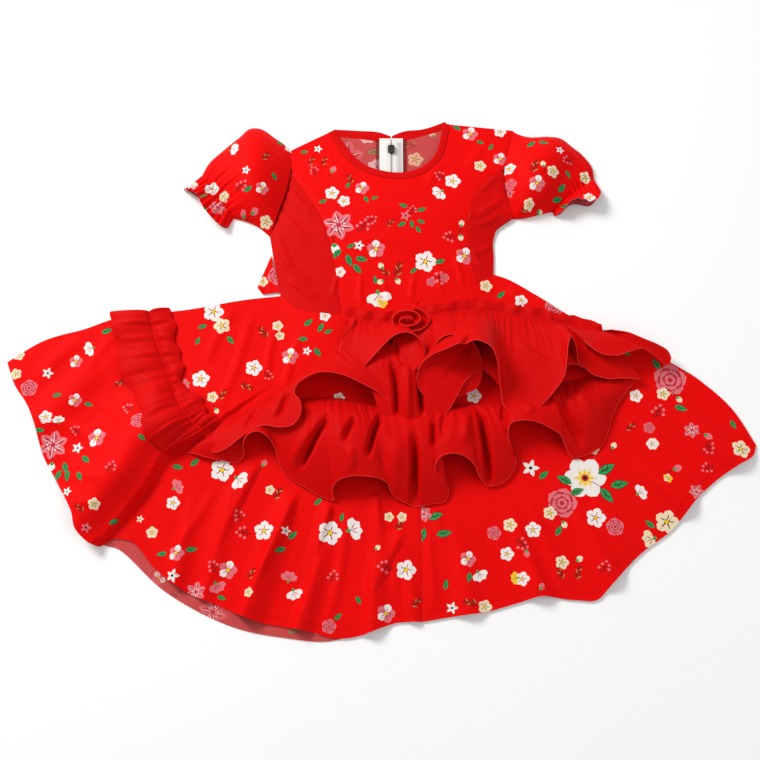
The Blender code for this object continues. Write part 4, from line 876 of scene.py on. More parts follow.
# The concealed zip: two white tapes with serged cloth beside them, fine white coils that meet in the
# opening, and a black slider at the neck. Its pull tab hangs outside the dress and turns in the slider.
TAPE_WIDTH = 12.0
rows_y = np.concatenate((np.linspace(66, 196, 30), np.linspace(198, 250.0, 44)))
tape_white = fabric("zip_tape_white", (0.84, 0.82, 0.79), roughness=0.7, thread=0.0006, relief=0.5, mottle=0.05)
tapes = {}
for side, sign in (("left", -1), ("right", 1)):
    x = ZIP_X + sign * (0.6 + np.linspace(0, 1, 14) * TAPE_WIDTH)
    plan = np.dstack(np.meshgrid(x, rows_y))
    ribs = 0.10 * np.cos((np.abs(plan[..., 0] - ZIP_X) - 1.0) * 2 * math.pi / 1.7)
    z = 2.45 + zip_bump(plan[..., 0], plan[..., 1]) + ribs - 0.1
    grid = np.dstack((plan, z))
    outward = facing(grid)
    tape = shell("zip_tape_" + side, grid.reshape(-1, 3), outward.reshape(-1, 3), strip(grid),
                 [0] * ((grid.shape[0] - 1) * (grid.shape[1] - 1)), [tape_white], 0.7)
    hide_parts("zip_tape_" + side)
    tapes[side] = tape


def plastic(name, colour, roughness, grain_scale):
    """Enamelled or moulded hard piece, with a fine unevenness in its gloss."""
    made = bpy.data.materials.new(name)
    made.use_nodes = True
    nodes, links = made.node_tree.nodes, made.node_tree.links
    shader = nodes["Principled BSDF"]
    shader.inputs["Coat Weight"].default_value = 0.2
    shader.inputs["Coat Roughness"].default_value = 0.2
    place = nodes.new("ShaderNodeTexCoord")
    fine = nodes.new("ShaderNodeTexNoise")
    fine.inputs["Scale"].default_value = grain_scale
    fine.inputs["Detail"].default_value = 3.0
    links.new(place.outputs["Object"], fine.inputs["Vector"])
    gloss = nodes.new("ShaderNodeMapRange")
    gloss.inputs["To Min"].default_value = roughness - 0.08
    gloss.inputs["To Max"].default_value = roughness + 0.08
    links.new(fine.outputs["Fac"], gloss.inputs["Value"])
    links.new(gloss.outputs["Result"], shader.inputs["Roughness"])
    tone = nodes.new("ShaderNodeMix")
    tone.data_type = "RGBA"
    tone.inputs["A"].default_value = colour + (1,)
    tone.inputs["B"].default_value = tuple(c * 1.5 + 0.01 for c in colour) + (1,)
    links.new(fine.outputs["Fac"], tone.inputs["Factor"])
    links.new(tone.outputs["Result"], shader.inputs["Base Color"])
    return made


COIL_PITCH = 0.7
COIL_LEVEL = 2.6
ZIP_FOOT = 67.0
coil_y = np.arange(ZIP_FOOT, 228.5, COIL_PITCH)
coils = []
for sign in (-1, 1):
    t = np.linspace(0, 1, len(coil_y) * 5)
    y = np.interp(t, (0, 1), (coil_y[0], coil_y[-1]))
    turn = (y / COIL_PITCH) * 2 * math.pi + (0 if sign < 0 else math.pi)
    path = np.column_stack((ZIP_X + sign * (0.55 + 0.5 * np.cos(turn)), y, COIL_LEVEL + 0.35 * np.sin(turn)
                            + zip_bump(np.full_like(y, ZIP_X), y)))
    coils.append(tube(path, 0.2, 4))
threads("zip_coils", coils, tape_white)
OVERLOCK_STEP = 1.5
OVERLOCK_PLACE = 15.0       # its middle, from the middle of the zip
OVERLOCK_HALF = 1.7
overlock = fabric("overlock_thread", (0.22, 0.006, 0.006), roughness=0.6, sheen=0.1, thread=0.0003, relief=0.4)
for side, sign in (("left", -1), ("right", 1)):
    y = np.arange(ZIP_FOOT, 249.0, OVERLOCK_STEP)
    across_edge = ZIP_X + sign * (OVERLOCK_PLACE + OVERLOCK_HALF * np.where(np.arange(len(y)) % 2, 1, -1))
    zigzag = np.column_stack((across_edge, y, back_face(across_edge, y) + 0.6))
    threads("overlocked_edge_" + side, [tube(zigzag, 0.48, 4)], overlock)
slider_black = plastic("slider_black_enamel", (0.012, 0.012, 0.014), 0.35, 1800.0)
for node in ("zip_slider", "zip_pull"):
    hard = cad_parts[node]
    rounding = hard.modifiers.new("rounded_edges", "BEVEL")
    rounding.width = 0.00022
    rounding.segments = 2
    rounding.limit_method = "ANGLE"
    for slot in hard.material_slots:
        slot.material = slider_black


# The front of the bodice: a printed centre piece between two plain red side pieces, joined by curved
# princess seams that are pressed towards the sides. It stands up a little in the middle, and creases run
# in from the armholes and up from the waist.
PRINCESS_LEFT = (
    (0.16, -95.4, 206), (0.26, -87, 193), (0.36, -76, 176), (0.46, -66, 160), (0.60, -57, 137),
    (0.72, -51, 115), (0.86, -45, 84), (1.00, -40, 45))
PRINCESS_RIGHT = (
    (0.24, 130.4, 209), (0.32, 115, 202), (0.42, 103, 188), (0.52, 96, 172), (0.62, 91, 150),
    (0.76, 91, 124), (0.88, 94, 99), (1.00, 99, 80))
TOP_FRONT = (
    (0.00, -96, 234), (0.16, -56, 257), (0.16, -56, 257), (0.24, -47, 239), (0.32, -35, 221),
    (0.40, -18, 206), (0.49, 12, 197), (0.58, 38, 200), (0.66, 56, 212), (0.74, 68, 231),
    (0.82, 75, 267), (0.82, 75, 267), (1.00, 143, 259))
BODICE_CREASES = (
    (-92, 205, -60, 170, 6, 0.9), (-98, 188, -70, 150, 7, 1.0), (-108, 160, -70, 120, 8, 0.9),
    (-112, 140, -92, 95, 7, 0.8), (-106, 110, -70, 75, 6, 0.8), (-100, 85, -60, 60, 5, 1.0),
    (-50, 60, -44, 95, 4, 0.8), (-20, 52, -22, 90, 5, 0.9), (8, 52, 2, 84, 4, 0.8), (30, 56, 34, 92, 5, 0.9),
    (62, 64, 58, 100, 5, 0.8), (84, 74, 76, 112, 5, 0.9), (106, 92, 92, 120, 5, 1.0),
    (128, 205, 100, 180, 6, 0.9), (131, 180, 98, 150, 7, 1.0), (130, 160, 96, 140, 6, 0.8),
    (118, 125, 94, 110, 6, 0.9), (-60, 225, -30, 190, 9, 0.6), (70, 225, 46, 186, 9, 0.7),
    (-30, 170, 40, 150, 14, 0.6), (-20, 130, 60, 118, 12, 0.5), (110, 240, 88, 205, 8, 0.8),
    (-80, 235, -62, 205, 8, 0.7))
# kind, pixel across, pixel down, size, turn, ink
BODICE_PRINT = (
    ("blossom", 332, 193, 8, 10, "white"), ("blossom", 344, 201, 7, 40, "white"), ("blossom", 362, 188, 8, 0, "pink"),
    ("leaf", 327, 200, 9, 200, "green"), ("leaf", 346, 188, 8, 60, "green"), ("leaf", 364, 196, 9, -60, "green"),
    ("leaf", 371, 199, 8, 20, "green"), ("fern", 352, 184, 9, 110, "green"), ("lily", 338.6, 225, 17, 100, "pink"),
    ("bud", 334, 243, 10, -80, "white"), ("star", 359, 245.5, 6, 0, "white"), ("blossom", 376, 249, 10, 20, "pink"),
    ("twig", 358, 234, 12, 60, "pink"), ("twig", 364, 222, 9, 20, "pink"), ("leaf", 341, 249, 13, -130, "green"),
    ("leaf", 346.5, 254, 14, -70, "green"), ("leaf", 353, 264, 13, -50, "green"), ("leaf", 355, 258, 13, -10, "green"),
    ("leaf", 347, 248, 9, 30, "green"), ("blossom", 340, 272, 6, 0, "white"), ("leaf", 408, 207, 10, 160, "green"),
    ("leaf", 417, 211, 10, 20, "green"), ("leaf", 406, 222, 10, 210, "green"), ("leaf", 411, 220, 9, -80, "green"),
    ("leaf", 417, 220, 9, -20, "green"), ("leaf", 416, 226, 9, -60, "green"), ("star", 405.5, 216, 6, 0, "pink"),
    ("twig", 410, 216, 8, 70, "pink"), ("blossom", 452.6, 181, 9, 0, "white"), ("shell", 439, 193, 9, 220, "white"),
    ("twig", 446, 180, 9, 140, "pink"), ("bud", 461, 227, 6, 80, "cream"), ("bud", 460, 234, 6, -80, "cream"),
    ("twig", 458, 237, 10, 180, "pink"), ("blossom", 464.5, 256, 10, 0, "pink"),
    ("blossom", 425.5, 261.5, 12, 0, "white"),
    ("leaf", 435, 263, 11, 20, "green"), ("leaf", 417, 268, 9, 220, "green"), ("twig", 450, 280, 12, 170, "pink"),
    ("rose", 444.6, 278, 5, 0, "pink"), ("rose", 431, 282, 5, 0, "pink"), ("fern", 396, 277, 12, 75, "green"),
    ("fern", 390, 276, 9, 140, "green"), ("bud", 383, 269, 6, 120, "cream"), ("bud", 384, 280.6, 6, 200, "cream"),
    ("bud", 396, 278, 6, -60, "cream"), ("shell", 379, 298, 13, -80, "white"), ("blossom", 382, 303, 6, 0, "yellow"),
    ("fern", 308, 166, 9, 60, "green"), ("fern", 322, 166, 9, 70, "green"), ("bud", 331, 173, 7, 60, "pink"),
    ("twig", 316, 176, 8, 110, "pink"), ("blossom", 470, 134, 9, 0, "pink"), ("leaf", 461, 130, 10, 150, "green"),
    ("leaf", 476, 141, 9, -20, "green"), ("blossom", 480, 166, 7, 0, "cream"), ("blossom", 500, 159, 8, 0, "pink"),
    ("blossom", 500, 132, 7, 0, "white"), ("leaf", 489, 150, 9, 60, "green"), ("leaf", 300, 152, 9, 0, "green"),
    ("star", 318, 149, 5, 0, "white"), ("fern", 386, 226, 8, 40, "green"), ("leaf", 376, 284, 9, 100, "green"))


def bodice_face(x, y):
    return np.maximum(bodice_rise(x, y) + 1.7 * creased(x, y, BODICE_CREASES), 2.0)


def seam_dip(plan, left_seam, right_seam):
    """The cloth rolls down into a seam over its last two millimetres."""
    dip = np.zeros(plan.shape[:2])
    for seam in (left_seam, right_seam):
        if seam is None:
            continue
        away = np.min(np.hypot(plan[..., 0, None] - seam[:, 0], plan[..., 1, None] - seam[:, 1]), axis=-1)
        dip += 0.55 * np.clip(1 - away / 2.2, 0, 1) ** 2
    return dip


across = np.concatenate((np.linspace(0, 0.16, 14)[:-1], np.linspace(0.16, 0.82, 88), np.linspace(0.82, 1, 16)[1:]))
down = np.concatenate((np.linspace(0, 0.16, 16)[:-1], np.linspace(0.16, 1, 76)))
left = np.concatenate((curve(SIDE_LEFT, np.linspace(0, 0.16, 16))[:-1],
                       curve(PRINCESS_LEFT, np.linspace(0.16, 1, 76)) + (0.08, 0)))
right = np.concatenate((curve(SIDE_RIGHT, np.linspace(0, 0.24, 16))[:-1],
                        curve(PRINCESS_RIGHT, np.linspace(0.24, 1, 76)) - (0.08, 0)))
top = curve(TOP_FRONT, across)
spread = np.interp(across, (0, 0.16, 0.30, 0.49, 0.68, 0.82, 1), (0, 0.06, 0.20, 0.49, 0.78, 0.92, 1))
bottom = left[-1] + (right[-1] - left[-1]) * spread[:, None]
bottom[:, 1] = waist_y(bottom[:, 0]) + 0.05
left[-1], right[-1] = bottom[0], bottom[-1]
top[0], top[-1] = left[0], right[0]
plan = filled(top, bottom, left, right, across, down, 8.0)
princess = (curve(PRINCESS_LEFT, np.linspace(0.16, 1, 90)), curve(PRINCESS_RIGHT, np.linspace(0.24, 1, 90)))
grid = np.dstack((plan, bodice_face(plan[..., 0], plan[..., 1]) - seam_dip(plan, *princess)))
shapes = print_from(BODICE_PRINT, bodice_rise)
front_centre = printed("front_centre", grid, shapes, floor=1.05)
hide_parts("front_centre")
flat_size(front_centre, 245, 225)

plain_red = fabric("plain_red_crepe", (0.68, 0.002, 0.002), roughness=0.6, sheen=0.2, relief=0.26)
for name, side, seam, start, sign, size in (
        ("front_side_left", SIDE_LEFT, PRINCESS_LEFT, 0.16, 1, (82, 170)),
        ("front_side_right", SIDE_RIGHT, PRINCESS_RIGHT, 0.24, -1, (60, 140))):
    down = np.linspace(0.02, 1, 90)
    across = np.linspace(0, 1, 36)
    outer = curve(side, start + down * (1 - start))
    inner = curve(seam, start + down * (1 - start)) - (sign * 0.08, 0)
    ends = (outer, inner) if sign > 0 else (inner, outer)
    top = ends[0][0] + (ends[1][0] - ends[0][0]) * across[:, None]
    bottom = ends[0][-1] + (ends[1][-1] - ends[0][-1]) * across[:, None]
    bottom[:, 1] = waist_y(bottom[:, 0]) + 0.05
    ends[0][-1], ends[1][-1] = bottom[0], bottom[-1]
    plan = filled(top, bottom, ends[0], ends[1], across, down)
    grid = np.dstack((plan, bodice_face(plan[..., 0], plan[..., 1]) - seam_dip(plan, princess[sign < 0], None)))
    piece = shell(name, grid.reshape(-1, 3), facing(grid).reshape(-1, 3), strip(grid),
                  [0] * ((grid.shape[0] - 1) * (grid.shape[1] - 1)), [plain_red], CREPE, floor=1.05)
    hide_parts(name)
    flat_size(piece, size[0], size[1])


# The neck binding: plain red bias strip folded over the raw edge and topstitched close to its seam, open
# at the back over the zip. The front of it stands a little proud of the bodice.
BINDING_WIDTH = 8.5


def bound_edge(name, line, width_vector, height, thickness, floor=0.0):
    """A folded strip with a rounded section along a plan line."""
    turn = np.linspace(0, 2 * math.pi, 20, endpoint=False)
    away = 0.5 - 0.5 * np.sign(np.cos(turn)) * np.abs(np.cos(turn)) ** 0.35
    up = 0.5 + 0.5 * np.sign(np.sin(turn)) * np.abs(np.sin(turn)) ** 0.6
    grid = np.zeros((len(line), len(turn), 3))
    place = np.linspace(0, 1, len(line))
    for j, (part, rise) in enumerate(zip(away, up)):
        flat = line + width_vector * part
        base = height(flat[:, 0], flat[:, 1]) - thickness if height else np.full(len(line), floor)
        pucker = 0.10 * np.sin(place * 150 + part * 3) * max(rise - 0.5, 0) * (1 if height else 0.3)
        groove = 0.22 * math.exp(-((part - 0.14) / 0.05) ** 2) * max(rise - 0.5, 0)
        grid[:, j, :2] = flat
        grid[:, j, 2] = np.maximum(base, floor) + rise * thickness + pucker - groove
    rows, columns = grid.shape[:2]
    at = np.arange(rows * columns).reshape(rows, columns)
    quads = np.stack((at[:-1], np.roll(at, -1, 1)[:-1], np.roll(at, -1, 1)[1:], at[1:]), -1).reshape(-1, 4)
    faces = [tuple(map(int, q)) for q in quads]
    faces += [tuple(map(int, at[0, ::-1])), tuple(map(int, at[-1]))]
    return threads(name, [(grid.reshape(-1, 3), faces)], plain_red)


places = np.linspace(0.16, 0.8195, 150)
edge = curve(TOP_FRONT, places)
inward = sideways(edge)
inward *= np.sign(inward[75, 1])
lift = np.linspace(-1, 1, len(edge))[:, None]
width = inward * (BINDING_WIDTH - 1.5 * np.abs(lift) ** 6)
binding_front = bound_edge("neck_binding_front", edge + inward * 0.15, width, lambda x, y: bodice_rise(x, y) + 0.4,
                           2.0, 1.3)
topstitch = edge + width * 0.14
path = np.column_stack((topstitch, bodice_rise(topstitch[:, 0], topstitch[:, 1]) + 0.32))
neck_stitches = stitches("neck_stitches", path, 2.6, 1.8, 0.16, thread_red)
bindings = {"neck_binding_front": binding_front}
for side, lower, upper, ends in (
        ("left", TOP_BACK_LEFT, ((0.00, -51, 262), (0.35, -26, 260.5), (0.75, -2, 258.5), (1.00, 10.1, 254)),
         (0.452, 1.0)),
        ("right", TOP_BACK_RIGHT, ((0.00, 11.9, 254), (0.25, 24, 259.5), (0.60, 46, 262.5), (1.00, 70, 271.5)),
         (0.0, 0.518))):
    base, rim = curve(lower, np.linspace(ends[0], ends[1], 60)), curve(upper, np.linspace(0, 1, 60))
    base[-1 if side == "left" else 0, 0] = ZIP_X + (-1 if side == "left" else 1) * ZIP_LIPS / 2
    base[:, 1] += 0.15
    bindings["neck_binding_back_" + side] = bound_edge("neck_binding_back_" + side, base, rim - base, None, 1.0)
for node, binding in bindings.items():
    front = node == "neck_binding_front"
    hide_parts(node)
    flat_size(binding, 28, 205 if front else 78)


# The sleeves: short printed puffs, gathered into the armhole and by elastic at the cuff, with a narrow
# frill standing out beyond the elastic. Each is one piece of cloth closed into a tube, and its lower half
# lies flat on the table.
SLEEVE_LEFT = dict(
    top=((0.0, -96, 234), (0.10, -103, 242), (0.24, -114, 250), (0.42, -130, 260.5),
         (0.54, -142, 260), (0.66, -152, 250), (0.82, -169, 235), (0.94, -185, 218), (1.0, -191, 205)),
    bottom=((0.0, -116, 134), (0.3, -128, 144.5), (0.65, -142, 151.5), (1.0, -155, 155)),
    frill=((0.0, -209, 188), (0.18, -200, 182), (0.32, -193, 177), (0.55, -184, 160),
           (0.75, -174, 149), (0.9, -165, 142), (1.0, -160, 144)),
    height=((0.0, 8), (0.18, 18), (0.42, 27), (0.66, 25), (0.86, 15), (1.0, 9)),
    armhole=SIDE_LEFT, armhole_end=0.64, outward=-1)
SLEEVE_RIGHT = dict(
    top=((0.0, 143, 259), (0.10, 149, 255), (0.24, 160, 251), (0.42, 180, 250.5), (0.56, 193, 248.5),
         (0.72, 206, 238), (0.86, 218, 227), (0.95, 226, 213), (1.0, 227, 201)),
    bottom=((0.0, 138, 154), (0.35, 150, 155), (0.7, 166, 159), (1.0, 181, 163)),
    frill=((0.0, 233, 187), (0.15, 229, 176), (0.35, 220, 168), (0.5, 207, 171), (0.7, 197, 168),
           (0.88, 190, 160), (1.0, 183, 157)),
    height=((0.0, 8), (0.18, 18), (0.42, 27), (0.66, 25), (0.86, 15), (1.0, 9)),
    armhole=SIDE_RIGHT, armhole_end=0.52, outward=1)
# kind, pixel across, pixel down, size, turn, ink
SLEEVE_PRINT = {
    "left": (
        ("shell", 234, 149, 8, 0, "white"), ("blossom", 212, 189.5, 8, 0, "white"), ("twig", 234, 192, 10, 30, "pink"),
        ("leaf", 244, 192, 10, 30, "green"), ("blossom", 224, 197, 6, 0, "cream"), ("leaf", 199, 197, 9, 20, "green"),
        ("leaf", 199, 208, 9, 0, "green"), ("lily", 217, 207, 9, 0, "pink"), ("bud", 251, 214.5, 7, 30, "pink"),
        ("bud", 244, 218, 6, 100, "pink"), ("blossom", 266, 222, 7, 0, "cream"), ("blossom", 291, 149, 7, 0, "white"),
        ("leaf", 284, 146, 9, 150, "green"), ("fern", 262, 160, 9, 60, "green"), ("blossom", 262, 188, 7, 0, "pink"),
        ("leaf", 272, 172, 9, -60, "green"), ("star", 246, 170, 5, 0, "white"), ("blossom", 193, 186, 6, 0, "white")),
    "right": (
        ("leaf", 527, 147, 12, 40, "green"), ("leaf", 538, 142, 11, -20, "green"), ("fern", 532, 173, 12, 70, "green"),
        ("blossom", 553, 171, 7, 0, "cream"), ("bud", 544, 167, 6, 100, "cream"), ("blossom", 537, 183, 9, 0, "pink"),
        ("leaf", 558, 193, 12, 50, "green"), ("leaf", 552, 201, 12, 20, "green"), ("leaf", 560, 207, 11, -10, "green"),
        ("blossom", 589, 198, 7, 0, "white"), ("fern", 521, 211, 10, 30, "green"), ("blossom", 529, 204, 6, 0, "cream"),
        ("bud", 538, 209, 6, -30, "cream"), ("rose", 509.5, 185.5, 7, 0, "pink"), ("star", 510, 194, 5, 0, "pink"),
        ("blossom", 509, 169, 7, 0, "white"), ("blossom", 585, 178, 7, 0, "cream"), ("leaf", 566, 170, 9, -60, "green"),
        ("star", 560, 150, 5, 0, "white"), ("twig", 574, 160, 9, 200, "pink"))}


def sleeve_grid(cut, arch_count, fine):
    """Upper half of a sleeve as rows from armhole to frill and columns over its arch."""
    arch = np.linspace(0, 1, arch_count)
    arch = 0.5 - 0.5 * np.cos(arch * math.pi) * (0.55 + 0.45 * np.abs(np.cos(arch * math.pi)))
    body, frill = np.linspace(0, 1, fine), np.linspace(0, 1, 15)[1:]
    armhole = curve(cut["armhole"], arch * cut["armhole_end"])
    armhole[:, 0] += cut["outward"] * 0.2
    top, bottom = curve(cut["top"], body), curve(cut["bottom"], body)
    cuff = top[-1] + (bottom[-1] - top[-1]) * arch[:, None]
    top[0], bottom[0] = armhole[0], armhole[-1]
    plan = filled(top, bottom, armhole, cuff, body, arch).transpose(1, 0, 2)
    edge = curve(cut["frill"], arch)
    plan = np.concatenate((plan, cuff[None] + (edge - cuff)[None] * frill[:, None, None]))
    down = np.concatenate((body, 1 + frill))[:, None]
    peak = np.interp(down, *zip(*[(p, h) for p, h in zip(body, curve(cut["height"], body)[:, 0])],
                                (1.35, 10.5), (1.7, 13.0), (2.0, 15.0)))
    rise = np.sqrt(np.clip(4 * arch * (1 - arch), 0, 1))[None]
    # gathers: many at the elastic and the armhole, each fading out over the puff at its own length
    gathers = np.zeros((len(down), len(arch)))
    for at, width, height, reach in SLEEVE_GATHERS:
        away = np.clip(np.abs(arch[None] - at) / width, 0, 1)
        ridge = np.cos(away * math.pi / 2) ** 2 * height
        on_puff = np.clip(1 - (1 - down) / reach, 0, 1) ** 1.5 * (down <= 1)
        on_frill = (down > 1) * (1 + 0.5 * (down - 1))
        gathers += ridge * (on_puff + on_frill)
    for at, width, height, reach in ARMHOLE_GATHERS:
        away = np.clip(np.abs(arch[None] - at) / width, 0, 1)
        gathers += np.cos(away * math.pi / 2) ** 2 * height * np.clip(1 - down / reach, 0, 1) ** 1.5
    elastic = -1.6 * np.exp(-((down - 1.0) / 0.035) ** 2)
    height = 1.0 + (peak - 1.0) * rise + (gathers + elastic) * np.clip(rise * 1.6, 0, 1)
    return np.dstack((plan, np.maximum(height, 0.9)))


# columns: place over the arch, half width, height, how far up the puff it reaches
SLEEVE_GATHERS = (
    (0.06, 0.045, 1.4, 0.30), (0.15, 0.05, 2.2, 0.45), (0.24, 0.04, 1.7, 0.32), (0.33, 0.05, 2.6, 0.55),
    (0.43, 0.045, 1.9, 0.36), (0.52, 0.05, 2.8, 0.60), (0.61, 0.04, 1.8, 0.30), (0.69, 0.05, 2.4, 0.5),
    (0.78, 0.04, 1.6, 0.34), (0.87, 0.05, 2.2, 0.42), (0.95, 0.035, 1.2, 0.25))
ARMHOLE_GATHERS = (
    (0.12, 0.04, 0.9, 0.30), (0.22, 0.05, 1.5, 0.42), (0.33, 0.04, 1.2, 0.30), (0.45, 0.05, 1.5, 0.36),
    (0.57, 0.04, 1.0, 0.28), (0.70, 0.05, 1.3, 0.40), (0.83, 0.04, 0.9, 0.26))
for side, cut in (("left", SLEEVE_LEFT), ("right", SLEEVE_RIGHT)):
    grid = sleeve_grid(cut, 90, 72)
    flat, level = grid[..., :2].reshape(-1, 2), grid[..., 2].reshape(-1)

    def over_sleeve(x, y):
        away = np.hypot(flat[:, 0] - float(np.ravel(x)[0]), flat[:, 1] - float(np.ravel(y)[0]))
        return level[np.argmin(away)]

    upper = printed("sleeve_" + side, grid, print_from(SLEEVE_PRINT[side], over_sleeve))
    middle = grid[:, 1:-1].copy()
    centre = middle.mean(axis=(0, 1))
    middle[..., :2] = centre[:2] + (middle[..., :2] - centre[:2]) * 0.985
    middle[..., 2] = 0.8
    low, high = flat.min(axis=0), flat.max(axis=0)
    lower = printed("sleeve_under_" + side, middle[::3, ::3], strewn(low, high, 24, 7 if side == "left" else 2),
                    wrong_up=True)
    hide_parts("sleeve_" + side)
    flat_size(upper, 150, 185)
    flat_size(lower, 130, 130)


# The ruffles: plain red strips, gathered along one edge and sewn down, with a narrow rolled and overlocked
# hem along the free one. Each stands in deep folds that lean over each other, so that the hem runs in
# arches and loops. Every row of a table below is one point of a hem, as the photograph shows it.
ROLL = 0.45                 # radius of the rolled hem
RUFFLE_CLOTH = 0.7          # thickness of the plain cloth
RUFFLE_CLEAR = 1.3          # least height of a ruffle over what it lies on
HEM_STEP = 1.6              # from one point of a hem to the next


def under_ruffle(x, y):
    inside = (x > WAIST[0][1]) & (x < WAIST[-1][1]) & (y > waist_y(x))
    return np.where(inside, bodice_rise(x, y), skirt_rise(x, y))


def gathered(heading, hem, across, pleats, bulge):
    """A ruffle's outer face, drawn from its heading to its hem.

    heading: place, pixel across, pixel down. hem: place on the heading, pixel across, pixel down and
    height over the table. Parts of the hem that other folds hide are guessed. pleats: pixel across and
    down at one end and at the other, half width, height.
    """
    head = np.array([(place,) + under_pixel(px, py, under_ruffle) for place, px, py in heading])
    free = np.array([under_pixel(px, py, lambda x, y: level) + (level, place) for place, px, py, level in hem])
    run = np.concatenate(((0,), np.cumsum(np.linalg.norm(np.diff(free[:, :3], axis=0), axis=1))))
    length = np.linspace(0, run[-1], int(run[-1] / HEM_STEP))
    smooth = curve(np.column_stack((run, free)), length)
    places = np.maximum.accumulate(np.interp(length, run, free[:, 3]))
    start = curve(head, places)
    grid = np.zeros((len(across), len(length), 3))
    base = under_ruffle(start[:, 0], start[:, 1]) + 1.6
    reach = np.hypot(*(smooth[:, :2] - start).T)
    tucks = np.sin(length / 1.9 + 1.5 * np.sin(length / 23)) + np.sin(length / 3.1 + 2 * np.sin(length / 31))
    folds = [under_pixel(a, b, lambda x, y: 12.0) + under_pixel(c, d, lambda x, y: 12.0) + (wide, rise)
             for a, b, c, d, wide, rise in pleats]
    for i, t in enumerate(across):
        out = max(t, 0)
        flat = start + (smooth[:, :2] - start) * out
        if t < 0:
            away = start - smooth[:, :2]
            away /= np.linalg.norm(away, axis=1)[:, None] + 1e-9
            flat = start + np.column_stack((away[:, 0] * 0.1, np.abs(away[:, 1]) * 0.2 + 0.75)) * -t
            frill = np.sin(start[:, 0] / 4.9 + 2.4 * np.sin(start[:, 0] / 23)) + 0.5 * np.sin(start[:, 0] / 2.7 + 1)
            flat[:, 1] += 0.16 * t * frill
            level = base + 1.6 + 1.5 * frill * min(1, -t / 6)
        else:
            level = base + (smooth[:, 2] - base) * out + bulge * reach * math.sin(math.pi * out**0.8)
            level = level + 0.75 * tucks * min(1, out * 9) * (1 - out) ** 3.0
            level = level + creased(flat[:, 0], flat[:, 1], folds) * min(1, out * 4)
        grid[i, :, :2] = flat
        grid[i, :, 2] = np.maximum(level, under_ruffle(flat[:, 0], flat[:, 1]) + RUFFLE_CLEAR)
    return grid


def ruffle(name, grid, hems):
    """A gathered strip as cloth; its hems are rolled to a thin cord of lighter thread, lighter partly as a painted
    highlight.
    """
    outward = facing(grid)
    if outward[:, :, 2].mean() < 0:
        outward = -outward
    faces = strip(grid)
    piece = shell(name, grid.reshape(-1, 3), outward.reshape(-1, 3), faces, [0] * len(faces), [plain_red],
                  RUFFLE_CLOTH)
    cords = [tube(line - (0, 0, RUFFLE_CLOTH / 2), ROLL + 0.07 * np.sin(np.arange(len(line)) * 2.1), 6)
             for line in hems]
    cord = threads(name + "_hem", cords, light_thread_and_highlight)
    return piece, cord


# Light red thread for the rolled hems and the stitching: lighter than the plain cloth, partly as its own thread colour
# and partly as a painted highlight along the free edges.
light_thread_and_highlight = fabric("light_red_thread_and_highlight", (0.92, 0.035, 0.03), roughness=0.5, sheen=0.3, thread=0.00035, relief=0.8)
UPPER_HEADING = (
    (0.00, 348, 318), (0.10, 372, 322), (0.20, 398, 322), (0.30, 424, 318), (0.40, 452, 312),
    (0.50, 480, 312), (0.62, 514, 315), (0.74, 544, 320), (0.86, 574, 327), (0.94, 590, 330), (1.00, 602, 332))
UPPER_HEM = (
    (0.00, 355, 318, 15), (0.00, 351, 328, 16), (0.00, 345, 334, 17), (0.01, 341, 345, 17), (0.02, 340, 360, 16),
    (0.03, 341, 373, 14), (0.05, 352, 372, 18), (0.07, 362, 367, 24), (0.10, 373, 356, 29), (0.13, 384, 344, 32),
    (0.16, 396, 334, 34), (0.19, 408, 332, 35), (0.20, 418, 337, 35), (0.215, 424, 346, 34), (0.22, 425, 356, 31),
    (0.22, 420, 366, 27), (0.22, 410, 372, 24), (0.22, 399, 371, 22), (0.22, 391, 364, 20), (0.22, 388, 354, 18),
    (0.23, 396, 345, 17), (0.26, 412, 345, 17), (0.29, 426, 352, 20), (0.31, 431, 353, 26), (0.33, 436, 343, 34),
    (0.35, 444, 336, 38), (0.37, 454, 334, 40), (0.39, 466, 337, 38), (0.40, 474, 343, 32), (0.41, 480, 356, 24),
    (0.41, 482, 372, 18), (0.41, 478, 386, 14), (0.40, 464, 394, 15), (0.40, 452, 398, 17), (0.40, 440, 400, 20),
    (0.40, 427, 397, 22), (0.40, 419, 388, 24), (0.40, 417, 376, 28), (0.40, 422, 363, 32), (0.405, 431, 355, 36),
    (0.42, 445, 349, 44), (0.45, 462, 342, 51), (0.48, 479, 340, 56), (0.51, 491, 346, 54), (0.53, 497, 358, 48),
    (0.55, 499, 374, 38), (0.57, 501, 390, 27), (0.59, 504, 405, 20), (0.61, 514, 415, 18), (0.64, 526, 414, 20),
    (0.67, 540, 406, 24), (0.70, 554, 391, 29), (0.73, 564, 376, 33), (0.75, 567, 358, 37), (0.76, 569, 341, 39),
    (0.765, 571, 336, 38), (0.77, 574, 340, 34), (0.77, 577, 350, 28), (0.77, 578, 362, 20), (0.775, 582, 367, 12),
    (0.79, 588, 360, 9), (0.80, 588, 350, 16), (0.81, 584, 341, 24), (0.83, 590, 346, 27), (0.86, 601, 353, 27),
    (0.89, 616, 355, 26), (0.92, 630, 351, 25), (0.94, 642, 348, 24), (0.955, 652, 353, 21), (0.965, 660, 360, 17),
    (0.97, 667, 365, 13), (0.975, 671, 358, 12), (0.98, 668, 351, 14), (0.985, 659, 345, 16), (0.99, 645, 339, 17),
    (0.995, 630, 333, 17), (1.00, 612, 330, 15))
MIDDLE_HEADING = (
    (0.00, 222, 423), (0.12, 250, 409), (0.25, 284, 388), (0.38, 318, 358), (0.52, 360, 336),
    (0.70, 420, 345), (0.85, 500, 338), (1.00, 600, 338))
